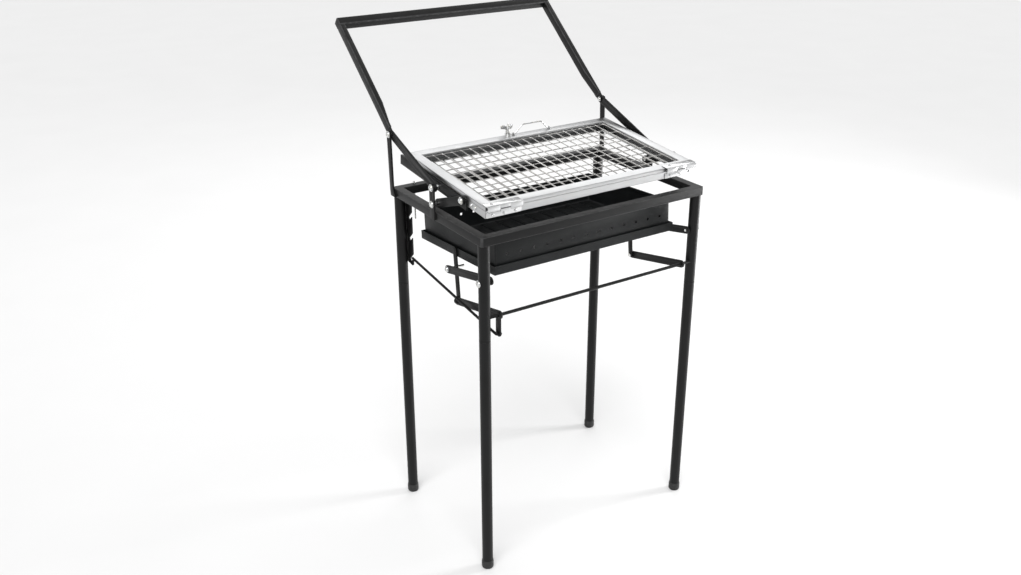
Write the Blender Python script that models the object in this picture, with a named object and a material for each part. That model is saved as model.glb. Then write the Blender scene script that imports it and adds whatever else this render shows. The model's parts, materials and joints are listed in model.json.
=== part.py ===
"""Standing charcoal grill with a flip-over basket, modelled piece by piece.

Axes: X along the long side, +Y to the rear (handle side), +Z up, in metres.
The origin is on the floor under the middle of the whole grill.
"""
import math

import bmesh
import bpy
from mathutils import Matrix, Vector

# ---------------------------------------------------------------- driving dimensions
FRAME_LENGTH = 0.600          # outside, along X
FRAME_WIDTH = 0.394           # outside, along Y
FRAME_HEIGHT = 0.832          # floor to the top of the rails
GAP = 0.0003                  # clearance between touching pieces
DEPTH_CENTRE = 0.12934        # middle of the stand to the middle of the whole depth

RAIL = 0.020                  # square tube of the top frame
RAIL_WALL = 0.0012
RAIL_CORNER = 0.0022

LEG_RADIUS = 0.0125
LEG_WALL = 0.0012
LEG_INSET = 0.0126            # outer face of the frame to the leg's axis
LEG_SEAM = 0.594              # height where the lower tube plugs into the upper one
LEG_PLUG = 0.045              # length of the reduced end inside the upper tube
FOOT_RADIUS = 0.0140
FOOT_HEIGHT = 0.022
FOOT_SOLE = 0.004

# Flip linkage, as (y, z) points of the pivots
PIVOT = Vector((0.193, 0.957))        # handle on the rear posts
BASKET_PIN = Vector((0.000, 0.885))   # lever to basket
LINK_FOOT = Vector((0.000, 0.848))    # guide link to bracket
LINK_PIN = Vector((-0.100, 0.883))    # guide link to basket side bar
BASKET_TILT = math.radians(5.2)       # the closed basket leans a little to the front
ARM_RISE = math.radians(39.6)         # upper handle arm above horizontal
ARM_REACH = 0.326                     # pivot to the middle of the crossbar

# Outer and inner X of each layer of the linkage, right side
POST_LAYER = (0.3003, 0.3043)
LEVER_LAYER = (0.2945, 0.2985)
LINK_LAYER = (0.2862, 0.2902)
SIDE_BAR_LAYER = (0.2803, 0.2853)

HANDLE_TUBE = 0.019
HANDLE_WALL = 0.0012
LEVER_WIDTH = 0.020
LINK_WIDTH = 0.020
POST_WIDTH = 0.016
BRACKET_WIDTH = 0.014
BOLT_RADIUS = 0.0037
HOLE_RADIUS = 0.0041
HEAD_RADIUS = 0.0066
HEAD_THICKNESS = 0.0040

# Basket, in its own tilted frame: u along its depth, v square to it, origin at BASKET_PIN
BASKET_HALF = 0.280
BASKET_FRONT = -0.180
BASKET_REAR = 0.156
FLANGE = 0.025
SHEET = 0.0015
LOWER_BOTTOM = -0.0040
LOWER_TOP = 0.0125
UPPER_BOTTOM = 0.0135
UPPER_TOP = 0.0215
GRID_CELLS = (10, 6)
GRID_BAR = 0.0030
SIDE_BAR_WIDTH = 0.022
SIDE_BAR_FRONT = -0.112
SIDE_BAR_REAR = 0.176
HINGE_CENTRE = 0.236          # X of each basket hinge
HINGE_HALF = 0.043
HINGE_BARREL = 0.0030
HINGE_AXIS = (BASKET_FRONT - 0.0050, 0.0130)
CLASP_X = -0.004
CLASP_AXIS = (BASKET_REAR + 0.0095, 0.0020)
STUD_TOP = 0.0500
BAIL_AXIS = (0.1495, UPPER_TOP + 0.0022)
BAIL_SPAN = (0.006, 0.100)
BAIL_HEIGHT = 0.020
BAIL_LEAN = 0.020
WIRE_RADIUS = 0.0016

# Charcoal tray and its lifting gear; (y, z) points of the pivots
SHAFT = Vector((-0.190, 0.648))
UPPER_ARM_FOOT = Vector((-0.182, 0.727))
ARM_VECTOR = Vector((0.180, -0.037))
SHAFT_RADIUS = 0.0032
LIFT_ARM_WIDTH = 0.018
HANGER_LAYER = (0.2463, 0.2503)
LOWER_ARM_LAYER = (0.2508, 0.2548)
UPPER_ARM_LAYER = (0.2680, 0.2720)
HANGER_WIDTH = 0.013
CRANK_TIP = Vector((-0.190, 0.604))
TIE_REAR = Vector((0.1660, 0.6560))
TIE_X = (-0.2620, -0.2680)
TIE_RADIUS = 0.0026

TRAY_TILT = math.radians(-3.5)
CARRIER_CORNER = Vector((-0.160, 0.7245))   # lower front edge of the carrier
CARRIER_HALF = 0.246
CARRIER_DEPTH = 0.322
CARRIER_HEIGHT = 0.020
CARRIER_LEDGE = 0.018
TRAY_HALF = 0.240
TRAY_MARGIN = 0.0055
TRAY_DEPTH = 0.072
TRAY_SHEET = 0.0015

RACK_X = (-0.2746, -0.2716)
RACK_FRONT = 0.155
RACK_REAR = 0.184
RACK_BOTTOM = 0.6425
RACK_TOP = 0.8110
NOTCH_PITCH = 0.0520
NOTCH_WIDTH = 0.0075

PIN_PLACE = (-0.247, 0.187)   # loose pin in the rear rail
PIN_TOP = 0.8390
PIN_BOTTOM = 0.7460

SIDES = (("left", -1.0), ("right", 1.0))
CORNERS = (("front_left", -1, -1), ("front_right", 1, -1), ("rear_left", -1, 1), ("rear_right", 1, 1))


# ---------------------------------------------------------------- scene and materials
def clear_scene():
    for obj in list(bpy.data.objects):
        bpy.data.objects.remove(obj, do_unlink=True)


def make_material(name, colour, roughness, metallic):
    material = bpy.data.materials.new(name)
    material.use_nodes = True
    shader = material.node_tree.nodes["Principled BSDF"]
    shader.inputs["Base Color"].default_value = (*colour, 1.0)
    shader.inputs["Roughness"].default_value = roughness
    shader.inputs["Metallic"].default_value = metallic
    return material


def make_materials():
    return {
        "paint": make_material("black_paint", (0.022, 0.022, 0.024), 0.42, 0.0),
        "tray": make_material("tray_enamel", (0.020, 0.022, 0.024), 0.50, 0.0),
        "steel": make_material("stainless", (0.62, 0.62, 0.63), 0.28, 1.0),
        "wire": make_material("grill_wire", (0.60, 0.60, 0.60), 0.30, 1.0),
        "zinc": make_material("zinc_bolt", (0.72, 0.72, 0.73), 0.25, 1.0),
        "foot": make_material("foot_plastic", (0.016, 0.016, 0.016), 0.60, 0.0),
    }


# ---------------------------------------------------------------- helpers
def add_empty(name, place, tilt=0.0, parent=None):
    empty = bpy.data.objects.new(name, None)
    empty.location = place
    empty.rotation_euler = (tilt, 0.0, 0.0)
    empty.parent = parent
    bpy.context.collection.objects.link(empty)
    return empty


def add_object(name, bm, material, parent=None):
    """Closed bmesh in, shaded object out; its coordinates are the parent's."""
    bmesh.ops.recalc_face_normals(bm, faces=bm.faces)
    mesh = bpy.data.meshes.new(name)
    bm.to_mesh(mesh)
    bm.free()
    mesh.shade_smooth()
    mesh.set_sharp_from_angle(angle=math.radians(35))
    mesh.materials.append(material)
    obj = bpy.data.objects.new(name, mesh)
    obj.parent = parent
    bpy.context.collection.objects.link(obj)
    return obj


def combine(target, tool, operation):
    """Boolean with a hidden helper object."""
    tool.hide_render = True
    tool.display_type = "WIRE"
    modifier = target.modifiers.new(operation.lower(), "BOOLEAN")
    modifier.operation = operation
    modifier.solver = "EXACT"
    modifier.object = tool


def prism(outline, low, high):
    """Extrude a closed (y, z) outline along X."""
    bm = bmesh.new()
    face = bm.faces.new([bm.verts.new((low, y, z)) for y, z in outline])
    extruded = bmesh.ops.extrude_face_region(bm, geom=[face])["geom"]
    moved = [item for item in extruded if isinstance(item, bmesh.types.BMVert)]
    bmesh.ops.translate(bm, verts=moved, vec=(high - low, 0.0, 0.0))
    return bm


def layer(sign, band):
    """Low and high X of a layer on the left (-1) or right (+1) side."""
    return sorted((sign * band[0], sign * band[1]))


def arc(centre, radius, start, end, steps):
    points = []
    for step in range(steps + 1):
        angle = start + (end - start) * step / steps
        points.append(Vector((centre.x + radius * math.cos(angle), centre.y + radius * math.sin(angle))))
    return points


def link_outline(first, last, width, steps=8):
    """Straight flat link with a round end about each pivot."""
    heading = math.atan2(last.y - first.y, last.x - first.x)
    quarter = math.pi / 2
    return (arc(last, width / 2, heading - quarter, heading + quarter, steps)
            + arc(first, width / 2, heading + quarter, heading + 3 * quarter, steps))


def rod(radius, low, high, centre, sides=16):
    """Solid cylinder along X about a (y, z) centre."""
    outline = arc(centre, radius, 0.0, 2 * math.pi * (sides - 1) / sides, sides - 1)
    return prism(outline, low, high)


def drill(target, radius, low, high, centre, parent=None, sides=16):
    tool = add_object(target.name + "_drill", rod(radius, low, high, centre, sides),
                      target.data.materials[0], parent)
    combine(target, tool, "DIFFERENCE")


def weld(target, bm, parent=None):
    tool = add_object(target.name + "_weld", bm, target.data.materials[0], parent)
    combine(target, tool, "UNION")


def box(low, high):
    bm = bmesh.new()
    bmesh.ops.create_cube(bm, size=1.0)
    size = Vector(high) - Vector(low)
    middle = (Vector(high) + Vector(low)) / 2
    bmesh.ops.scale(bm, verts=bm.verts, vec=size)
    bmesh.ops.translate(bm, verts=bm.verts, vec=middle)
    return bm


def turned(profile, sides, place=(0.0, 0.0, 0.0)):
    """Spin an open (radius, z) profile, whose two ends lie on the axis or meet, about Z."""
    bm = bmesh.new()
    verts = [bm.verts.new((radius, 0.0, height)) for radius, height in profile]
    edges = [bm.edges.new(pair) for pair in zip(verts, verts[1:])]
    bmesh.ops.spin(bm, geom=verts + edges, cent=(0, 0, 0), axis=(0, 0, 1), angle=2 * math.pi,
                   steps=sides, use_merge=True, use_duplicate=False)
    bmesh.ops.remove_doubles(bm, verts=bm.verts, dist=1e-6)
    bmesh.ops.translate(bm, verts=bm.verts, vec=place)
    return bm


def rounded_square(half, corner, steps=3):
    points = []
    for turn, (sx, sy) in enumerate(((1, 1), (-1, 1), (-1, -1), (1, -1))):
        centre = Vector((sx * (half - corner), sy * (half - corner)))
        points += arc(centre, corner, turn * math.pi / 2, (turn + 1) * math.pi / 2, steps)
    return points


def square_tube(size, wall, corner, end_at):
    """Hollow square tube along X; end_at(side, a, b) gives the X of each profile point's ends."""
    bm = bmesh.new()
    rings = []
    for half, radius in ((size / 2, corner), (size / 2 - wall, corner - wall * 0.6)):
        profile = rounded_square(half, radius)
        for side in (-1, 1):
            rings.append([bm.verts.new((end_at(side, p.x, p.y), p.x, p.y)) for p in profile])
    outer_low, outer_high, inner_low, inner_high = rings
    count = len(outer_low)
    for first, second in ((outer_low, outer_high), (inner_high, inner_low),
                          (inner_low, outer_low), (outer_high, inner_high)):
        for index in range(count):
            after = (index + 1) % count
            bm.faces.new((first[index], first[after], second[after], second[index]))
    return bm


def frame_ring(half, front, rear, section):
    """Sweep a closed (inset, height) section round a rectangle with mitred corners."""
    bm = bmesh.new()
    corners = ((-1, 0), (1, 0), (1, 1), (-1, 1))
    loops = []
    for side, end in corners:
        loop = []
        for inset, height in section:
            y = rear - inset if end else front + inset
            loop.append(bm.verts.new((side * (half - inset), y, height)))
        loops.append(loop)
    count = len(section)
    for loop, following in zip(loops, loops[1:] + loops[:1]):
        for index in range(count):
            after = (index + 1) % count
            bm.faces.new((loop[index], following[index], following[after], loop[after]))
    return bm


def hexagon(centre, radius):
    return arc(centre, radius, 0.0, 2 * math.pi * 5 / 6, 5)


def bolt(low, high, centre, head_at, radius=BOLT_RADIUS):
    """Bolt along X with a six-sided head outside the end named by head_at (-1 or +1)."""
    bm = rod(radius, low, high, centre)
    overlap = 1e-4
    head_low, head_high = (high - overlap, high + HEAD_THICKNESS)
    if head_at < 0:
        head_low, head_high = (low - HEAD_THICKNESS, low + overlap)
    return bm, prism(hexagon(centre, HEAD_RADIUS), head_low, head_high)


# ---------------------------------------------------------------- stand
def build_frame(mats):
    half_l = FRAME_LENGTH / 2
    half_w = FRAME_WIDTH / 2
    middle = FRAME_HEIGHT - RAIL / 2
    for name, side in (("frame_front_rail", -1), ("frame_rear_rail", 1)):
        bm = square_tube(RAIL, RAIL_WALL, RAIL_CORNER,
                         lambda end, a, b: end * (half_l - RAIL / 2 + side * a - GAP / 2))
        bmesh.ops.translate(bm, verts=bm.verts, vec=(0.0, side * (half_w - RAIL / 2), middle))
        rail = add_object(name, bm, mats["paint"])
        if side > 0:
            hole = turned([(0, -0.02), (0.0030, -0.02), (0.0030, 0.02), (0, 0.02)], 12,
                          (PIN_PLACE[0], PIN_PLACE[1], middle))
            tool = add_object("rail_pin_hole", hole, mats["paint"])
            combine(rail, tool, "DIFFERENCE")
    for name, side in (("frame_left_rail", -1), ("frame_right_rail", 1)):
        bm = square_tube(RAIL, RAIL_WALL, RAIL_CORNER,
                         lambda end, a, b: end * (half_w - RAIL / 2 - side * a - GAP / 2))
        bmesh.ops.rotate(bm, verts=bm.verts, cent=(0, 0, 0), matrix=Matrix.Rotation(math.pi / 2, 3, "Z"))
        bmesh.ops.translate(bm, verts=bm.verts, vec=(side * (half_l - RAIL / 2), 0.0, middle))
        add_object(name, bm, mats["paint"])


def build_legs(mats):
    under_rail = FRAME_HEIGHT - RAIL - GAP
    bore = LEG_RADIUS - LEG_WALL
    plug = bore - GAP
    floor_gap = FOOT_SOLE + GAP
    for corner, sx, sy in CORNERS:
        place = (sx * (FRAME_LENGTH / 2 - LEG_INSET), sy * (FRAME_WIDTH / 2 - LEG_INSET), 0.0)
        upper = turned([(bore, LEG_SEAM + GAP), (LEG_RADIUS, LEG_SEAM + GAP), (LEG_RADIUS, under_rail),
                        (bore, under_rail), (bore, LEG_SEAM + GAP)], 24, place)
        stub = add_object("leg_upper_" + corner, upper, mats["paint"])
        lower = turned([(bore, floor_gap), (LEG_RADIUS, floor_gap), (LEG_RADIUS, LEG_SEAM),
                        (plug, LEG_SEAM), (plug, LEG_SEAM + LEG_PLUG), (plug - LEG_WALL, LEG_SEAM + LEG_PLUG),
                        (plug - LEG_WALL, LEG_SEAM - 0.004), (bore, LEG_SEAM - 0.010),
                        (bore, floor_gap)], 24, place)
        add_object("leg_lower_" + corner, lower, mats["paint"])
        foot = turned([(0, 0), (FOOT_RADIUS - 0.003, 0), (FOOT_RADIUS - 0.0009, 0.0009), (FOOT_RADIUS, 0.003),
                       (FOOT_RADIUS, FOOT_HEIGHT), (LEG_RADIUS + GAP, FOOT_HEIGHT),
                       (LEG_RADIUS + GAP, FOOT_SOLE), (0, FOOT_SOLE)], 24, place)
        add_object("foot_" + corner, foot, mats["foot"])
        if sy < 0:
            low, high = sorted((sx * 0.2500, sx * 0.3100))
            drill(stub, 0.0035, low, high, UPPER_ARM_FOOT, sides=12)
            inner_low, inner_high = sorted((sx * 0.2500, sx * 0.2874))
            drill(stub, SHAFT_RADIUS + GAP, inner_low, inner_high, SHAFT, sides=12)


def build_posts(mats):
    front = PIVOT.x - POST_WIDTH / 2
    rear = PIVOT.x + POST_WIDTH / 2
    for label, sign in SIDES:
        low, high = layer(sign, POST_LAYER)
        foot = FRAME_HEIGHT - RAIL + 0.001
        outline = ([Vector((front - 0.010, foot)), Vector((rear - 0.006, foot)),
                    Vector((rear - 0.004, foot + 0.016))]
                   + arc(PIVOT, POST_WIDTH / 2, 0.0, math.pi, 10)
                   + [Vector((front - 0.002, foot + 0.022))])
        post = add_object("post_" + label, prism(outline, low, high), mats["paint"])
        drill(post, HOLE_RADIUS, low - 0.01, high + 0.01, PIVOT)
        inner = sign * (LEVER_LAYER[0] - GAP)
        outer = sign * (POST_LAYER[1] + GAP)
        shank_low, shank_high = sorted((inner - sign * 0.004, outer))
        shank, head = bolt(shank_low, shank_high, PIVOT, sign)
        pivot_bolt = add_object("pivot_bolt_" + label, shank, mats["zinc"])
        weld(pivot_bolt, head)
        nut_low, nut_high = sorted((inner, inner - sign * 0.0035))
        weld(pivot_bolt, prism(hexagon(PIVOT, HEAD_RADIUS - 0.0006), nut_low, nut_high))


def build_brackets(mats):
    """Uprights on the side rails: a notch where the basket bolt rests, and the guide link's pin."""
    for label, sign in SIDES:
        low, high = layer(sign, POST_LAYER)
        top = BASKET_PIN.y + 0.006
        half = BRACKET_WIDTH / 2
        outline = [Vector((-half, FRAME_HEIGHT - RAIL + 0.002)), Vector((half, FRAME_HEIGHT - RAIL + 0.002)),
                   Vector((half, top)), Vector((-half, top))]
        bracket = add_object("flip_bracket_" + label, prism(outline, low, high), mats["paint"])
        notch = link_outline(BASKET_PIN, BASKET_PIN + Vector((0.0, 0.030)), 2 * HOLE_RADIUS)
        tool = add_object("notch_cutter_" + label, prism(notch, low - 0.01, high + 0.01), mats["paint"])
        combine(bracket, tool, "DIFFERENCE")
        pin_low, pin_high = sorted((sign * (LINK_LAYER[0] - 0.0004), sign * (POST_LAYER[1])))
        shank, head = bolt(pin_low, pin_high, LINK_FOOT, sign)
        weld(bracket, shank)
        weld(bracket, head)


def build_rack(mats):
    """Notched plate inside the rear left leg that holds the tie rod."""
    corner = 0.006
    outline = ([Vector((RACK_REAR, RACK_BOTTOM + 0.004)), Vector((RACK_REAR, RACK_TOP)),
                Vector((RACK_FRONT + 0.012, RACK_TOP)), Vector((RACK_FRONT, RACK_TOP - 0.014))]
               + arc(Vector((RACK_FRONT + corner, RACK_BOTTOM + corner)), corner, math.pi, 1.5 * math.pi, 4))
    rack = add_object("notch_rack", prism(outline, *RACK_X), mats["paint"])
    slant = Vector((-0.016, 0.016))
    for step in range(3):
        seat = TIE_REAR + Vector((0.0, step * NOTCH_PITCH))
        notch = link_outline(seat, seat + slant, NOTCH_WIDTH, 6)
        cutter = prism(notch, RACK_X[0] - 0.01, RACK_X[1] + 0.01)
        tool = add_object("rack_notch_%d" % step, cutter, mats["paint"])
        combine(rack, tool, "DIFFERENCE")


def build_rail_pin(mats):
    knob = 0.0036
    shaft = 0.0021
    profile = [(0, PIN_BOTTOM), (shaft, PIN_BOTTOM), (shaft, FRAME_HEIGHT + GAP), (knob, FRAME_HEIGHT + GAP),
               (knob, PIN_TOP - 0.001), (knob - 0.001, PIN_TOP), (0, PIN_TOP)]
    add_object("rail_pin", turned(profile, 12, (PIN_PLACE[0], PIN_PLACE[1], 0.0)), mats["paint"])


# ---------------------------------------------------------------- handle and flip linkage
def build_handle(mats):
    hub = add_empty("handle", (0.0, PIVOT.x, PIVOT.y))
    along = Vector((math.cos(ARM_RISE), math.sin(ARM_RISE)))
    half_tube = HANDLE_TUBE / 2
    tube_centre = LEVER_LAYER[0] - GAP - half_tube
    crossbar = square_tube(HANDLE_TUBE, HANDLE_WALL, 0.0022,
                           lambda end, a, b: end * (tube_centre + a - GAP / 2))
    bmesh.ops.translate(crossbar, verts=crossbar.verts, vec=(0.0, ARM_REACH, 0.0))
    bmesh.ops.rotate(crossbar, verts=crossbar.verts, cent=(0, 0, 0), matrix=Matrix.Rotation(ARM_RISE, 3, "X"))
    add_object("handle_crossbar", crossbar, mats["paint"], hub)
    start = 0.020
    for label, sign in SIDES:
        def arm_end(end, a, b, sign=sign):
            return start if end < 0 else ARM_REACH - sign * a - GAP / 2
        arm = square_tube(HANDLE_TUBE, HANDLE_WALL, 0.0022, arm_end)
        bmesh.ops.rotate(arm, verts=arm.verts, cent=(0, 0, 0), matrix=Matrix.Rotation(math.pi / 2, 3, "Z"))
        bmesh.ops.translate(arm, verts=arm.verts, vec=(sign * tube_centre, 0.0, 0.0))
        bmesh.ops.rotate(arm, verts=arm.verts, cent=(0, 0, 0), matrix=Matrix.Rotation(ARM_RISE, 3, "X"))
        add_object("handle_arm_" + label, arm, mats["paint"], hub)
        build_lever(mats, hub, label, sign, along)
    return hub


def build_lever(mats, hub, label, sign, along):
    """Bent flat bar from the basket bolt over the pivot and along the arm tube."""
    low, high = layer(sign, LEVER_LAYER)
    centre = Vector((0.0, 0.0))
    basket_end = BASKET_PIN - PIVOT
    lever = add_object("lever_" + label,
                       prism(link_outline(centre, basket_end, LEVER_WIDTH), low, high), mats["paint"], hub)
    weld(lever, prism(link_outline(centre, along * 0.075, LEVER_WIDTH - 0.001), low, high), hub)
    drill(lever, HOLE_RADIUS, low - 0.01, high + 0.01, centre, hub)
    drill(lever, HOLE_RADIUS, low - 0.01, high + 0.01, basket_end, hub)
    outer = sign * (POST_LAYER[1] + GAP)
    inner = sign * (SIDE_BAR_LAYER[0] + 0.0012)
    shank_low, shank_high = sorted((inner, outer))
    shank, head = bolt(shank_low, shank_high, basket_end, sign)
    basket_bolt = add_object("basket_bolt_" + label, shank, mats["zinc"], hub)
    weld(basket_bolt, head, hub)
    collar_low, collar_high = sorted((sign * (SIDE_BAR_LAYER[1] + GAP), sign * (LEVER_LAYER[0] - GAP)))
    weld(basket_bolt, rod(0.0055, collar_low, collar_high, basket_end), hub)


def build_guide_links(mats):
    for label, sign in SIDES:
        hub = add_empty("guide_link_axis_" + label, (0.0, LINK_FOOT.x, LINK_FOOT.y))
        low, high = layer(sign, LINK_LAYER)
        tip = LINK_PIN - LINK_FOOT
        link = add_object("guide_link_" + label,
                          prism(link_outline(Vector((0, 0)), tip, LINK_WIDTH), low, high), mats["paint"], hub)
        drill(link, HOLE_RADIUS, low - 0.01, high + 0.01, Vector((0, 0)), hub)
        head_low, head_high = sorted((sign * (LINK_LAYER[1] - 0.0002), sign * (LINK_LAYER[1] + 0.0036)))
        weld(link, prism(hexagon(tip, HEAD_RADIUS), head_low, head_high), hub)


# ---------------------------------------------------------------- basket
def grid_plate(low_v):
    """Flat lattice of cross bars, one closed body."""
    bm = bmesh.new()
    margin = FLANGE - 0.008
    length = 2 * (BASKET_HALF - margin)
    depth = BASKET_REAR - BASKET_FRONT - 2 * margin
    bmesh.ops.create_grid(bm, x_segments=GRID_CELLS[0], y_segments=GRID_CELLS[1], size=0.5)
    bmesh.ops.scale(bm, verts=bm.verts, vec=(length, depth, 1.0))
    bmesh.ops.translate(bm, verts=bm.verts, vec=(0.0, (BASKET_REAR + BASKET_FRONT) / 2, low_v))
    cells = list(bm.faces)
    bmesh.ops.inset_individual(bm, faces=cells, thickness=GRID_BAR, use_even_offset=True)
    bmesh.ops.delete(bm, geom=cells, context="FACES")
    extruded = bmesh.ops.extrude_face_region(bm, geom=list(bm.faces), use_keep_orig=True)["geom"]
    moved = [item for item in extruded if isinstance(item, bmesh.types.BMVert)]
    bmesh.ops.translate(bm, verts=moved, vec=(0.0, 0.0, GRID_BAR))
    return bm


def build_basket(mats, handle):
    offset = BASKET_PIN - PIVOT
    basket = add_empty("basket", (0.0, offset.x, offset.y), BASKET_TILT, handle)
    section = [(0.0, LOWER_BOTTOM), (FLANGE, LOWER_BOTTOM), (FLANGE, LOWER_BOTTOM + 0.0035),
               (FLANGE - SHEET, LOWER_BOTTOM + 0.0035), (FLANGE - SHEET, LOWER_BOTTOM + SHEET),
               (SHEET, LOWER_BOTTOM + SHEET), (SHEET, LOWER_TOP), (0.0, LOWER_TOP)]
    add_object("basket_lower_frame", frame_ring(BASKET_HALF, BASKET_FRONT, BASKET_REAR, section),
               mats["steel"], basket)
    add_object("basket_lower_grid", grid_plate(LOWER_BOTTOM + 0.0035 + GAP), mats["wire"], basket)
    for label, sign in SIDES:
        low, high = layer(sign, SIDE_BAR_LAYER)
        half = SIDE_BAR_WIDTH / 2
        outline = [Vector((SIDE_BAR_FRONT, -half)), Vector((SIDE_BAR_REAR, -half)),
                   Vector((SIDE_BAR_REAR, half)), Vector((SIDE_BAR_FRONT, half))]
        bar = add_object("side_bar_" + label, prism(outline, low, high), mats["paint"], basket)
        drill(bar, HOLE_RADIUS, low - 0.01, high + 0.01, Vector((0.0, 0.0)), basket)
        build_lower_hinge(mats, basket, label, sign * HINGE_CENTRE)
    build_clasp_bracket(mats, basket)
    return basket


def build_lower_hinge(mats, basket, label, centre):
    axis = Vector(HINGE_AXIS)
    face = BASKET_FRONT - GAP
    leaf = add_object("hinge_lower_leaf_" + label,
                      box((centre - HINGE_HALF, face - 0.0014, LOWER_BOTTOM + 0.001),
                          (centre + HINGE_HALF, face, axis.y - HINGE_BARREL - 0.0008)), mats["steel"], basket)
    weld(leaf, box((centre - 0.012, axis.x, axis.y - HINGE_BARREL - 0.0015),
                   (centre + 0.012, face, axis.y)), basket)
    weld(leaf, rod(HINGE_BARREL, centre - 0.012, centre + 0.012, axis, 12), basket)
    weld(leaf, rod(HINGE_BARREL / 2, centre - HINGE_HALF, centre + HINGE_HALF, axis, 10), basket)


def build_clasp_bracket(mats, basket):
    """Two ears behind the lower frame that carry the swing stud's pin."""
    axis = Vector(CLASP_AXIS)
    face = BASKET_REAR + GAP
    bracket = add_object("clasp_bracket", box((CLASP_X - 0.009, face, LOWER_BOTTOM + 0.001),
                                              (CLASP_X + 0.009, face + 0.0015, LOWER_TOP - 0.001)),
                         mats["steel"], basket)
    for side in (-1, 1):
        low, high = sorted((CLASP_X + side * 0.0090, CLASP_X + side * 0.0072))
        ear = box((low, face + 0.0005, axis.y - 0.0045), (high, axis.x + 0.0045, axis.y + 0.0045))
        weld(bracket, ear, basket)
    weld(bracket, rod(0.0016, CLASP_X - 0.0085, CLASP_X + 0.0085, axis, 10), basket)


def build_lid(mats, basket):
    lid = add_empty("lid", (0.0, *HINGE_AXIS), 0.0, basket)
    shift = Vector((0.0, -HINGE_AXIS[0], -HINGE_AXIS[1]))
    section = [(0.0, UPPER_BOTTOM), (SHEET, UPPER_BOTTOM), (SHEET, UPPER_TOP - SHEET),
               (FLANGE - SHEET, UPPER_TOP - SHEET), (FLANGE - SHEET, UPPER_TOP - 0.0035),
               (FLANGE, UPPER_TOP - 0.0035), (FLANGE, UPPER_TOP), (0.0, UPPER_TOP)]
    bm = frame_ring(BASKET_HALF, BASKET_FRONT, BASKET_REAR, section)
    bmesh.ops.translate(bm, verts=bm.verts, vec=shift)
    frame = add_object("basket_upper_frame", bm, mats["steel"], lid)
    ear_low = Vector((CLASP_X - 0.010, BASKET_REAR - 0.004, UPPER_TOP - SHEET + 0.0001)) + shift
    ear_high = Vector((CLASP_X + 0.010, BASKET_REAR + 0.0092, UPPER_TOP - 0.0001)) + shift
    weld(frame, box(ear_low, ear_high), lid)
    slot_low = Vector((CLASP_X - 0.0032, BASKET_REAR + 0.0055, UPPER_TOP - 0.01)) + shift
    slot_high = Vector((CLASP_X + 0.0032, BASKET_REAR + 0.0300, UPPER_TOP + 0.01)) + shift
    combine(frame, add_object("ear_slot", box(slot_low, slot_high), mats["steel"], lid), "DIFFERENCE")
    grid = grid_plate(UPPER_TOP - 0.0035 - GRID_BAR - GAP)
    bmesh.ops.translate(grid, verts=grid.verts, vec=shift)
    add_object("basket_upper_grid", grid, mats["wire"], lid)
    for label, sign in SIDES:
        build_upper_hinge(mats, lid, label, sign * HINGE_CENTRE)
    build_bail(mats, lid, shift)
    return lid


def build_upper_hinge(mats, lid, label, centre):
    """Leaf on top of the upper frame, with two knuckles over the hinge pin."""
    origin = Vector((0.0, 0.0))
    top = UPPER_TOP - HINGE_AXIS[1] + GAP
    face = BASKET_FRONT - HINGE_AXIS[0]
    plate = box((centre - HINGE_HALF, -0.0010, top), (centre + HINGE_HALF, face + 0.014, top + 0.0014))
    leaf = add_object("hinge_upper_leaf_" + label, plate, mats["steel"], lid)
    for side in (-1, 1):
        low, high = sorted((centre + side * 0.0125, centre + side * (HINGE_HALF - 0.0005)))
        weld(leaf, rod(HINGE_BARREL, low, high, origin, 12), lid)
        weld(leaf, box((low, -0.0010, 0.0), (high, 0.0008, top + 0.0010)), lid)
        drill(leaf, HINGE_BARREL / 2 + GAP, low - 0.0003, high + 0.0100, origin, lid, 10)


def build_bail(mats, lid, shift):
    axis = add_empty("wire_handle_axis", Vector((0.0, *BAIL_AXIS)) + shift, 0.0, lid)
    first, last = BAIL_SPAN
    path = [(first - 0.007, 0, 0), (first, 0, 0), (first + BAIL_LEAN, 0, BAIL_HEIGHT),
            (last - BAIL_LEAN, 0, BAIL_HEIGHT), (last, 0, 0), (last + 0.007, 0, 0)]
    curve = bpy.data.curves.new("wire_handle", "CURVE")
    curve.dimensions = "3D"
    curve.bevel_depth = WIRE_RADIUS
    curve.bevel_resolution = 2
    curve.use_fill_caps = True
    spline = curve.splines.new("POLY")
    spline.points.add(len(path) - 1)
    for point, place in zip(spline.points, path):
        point.co = (*place, 1.0)
    curve.materials.append(mats["zinc"])
    bail = bpy.data.objects.new("wire_handle", curve)
    bail.parent = axis
    bpy.context.collection.objects.link(bail)


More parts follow.
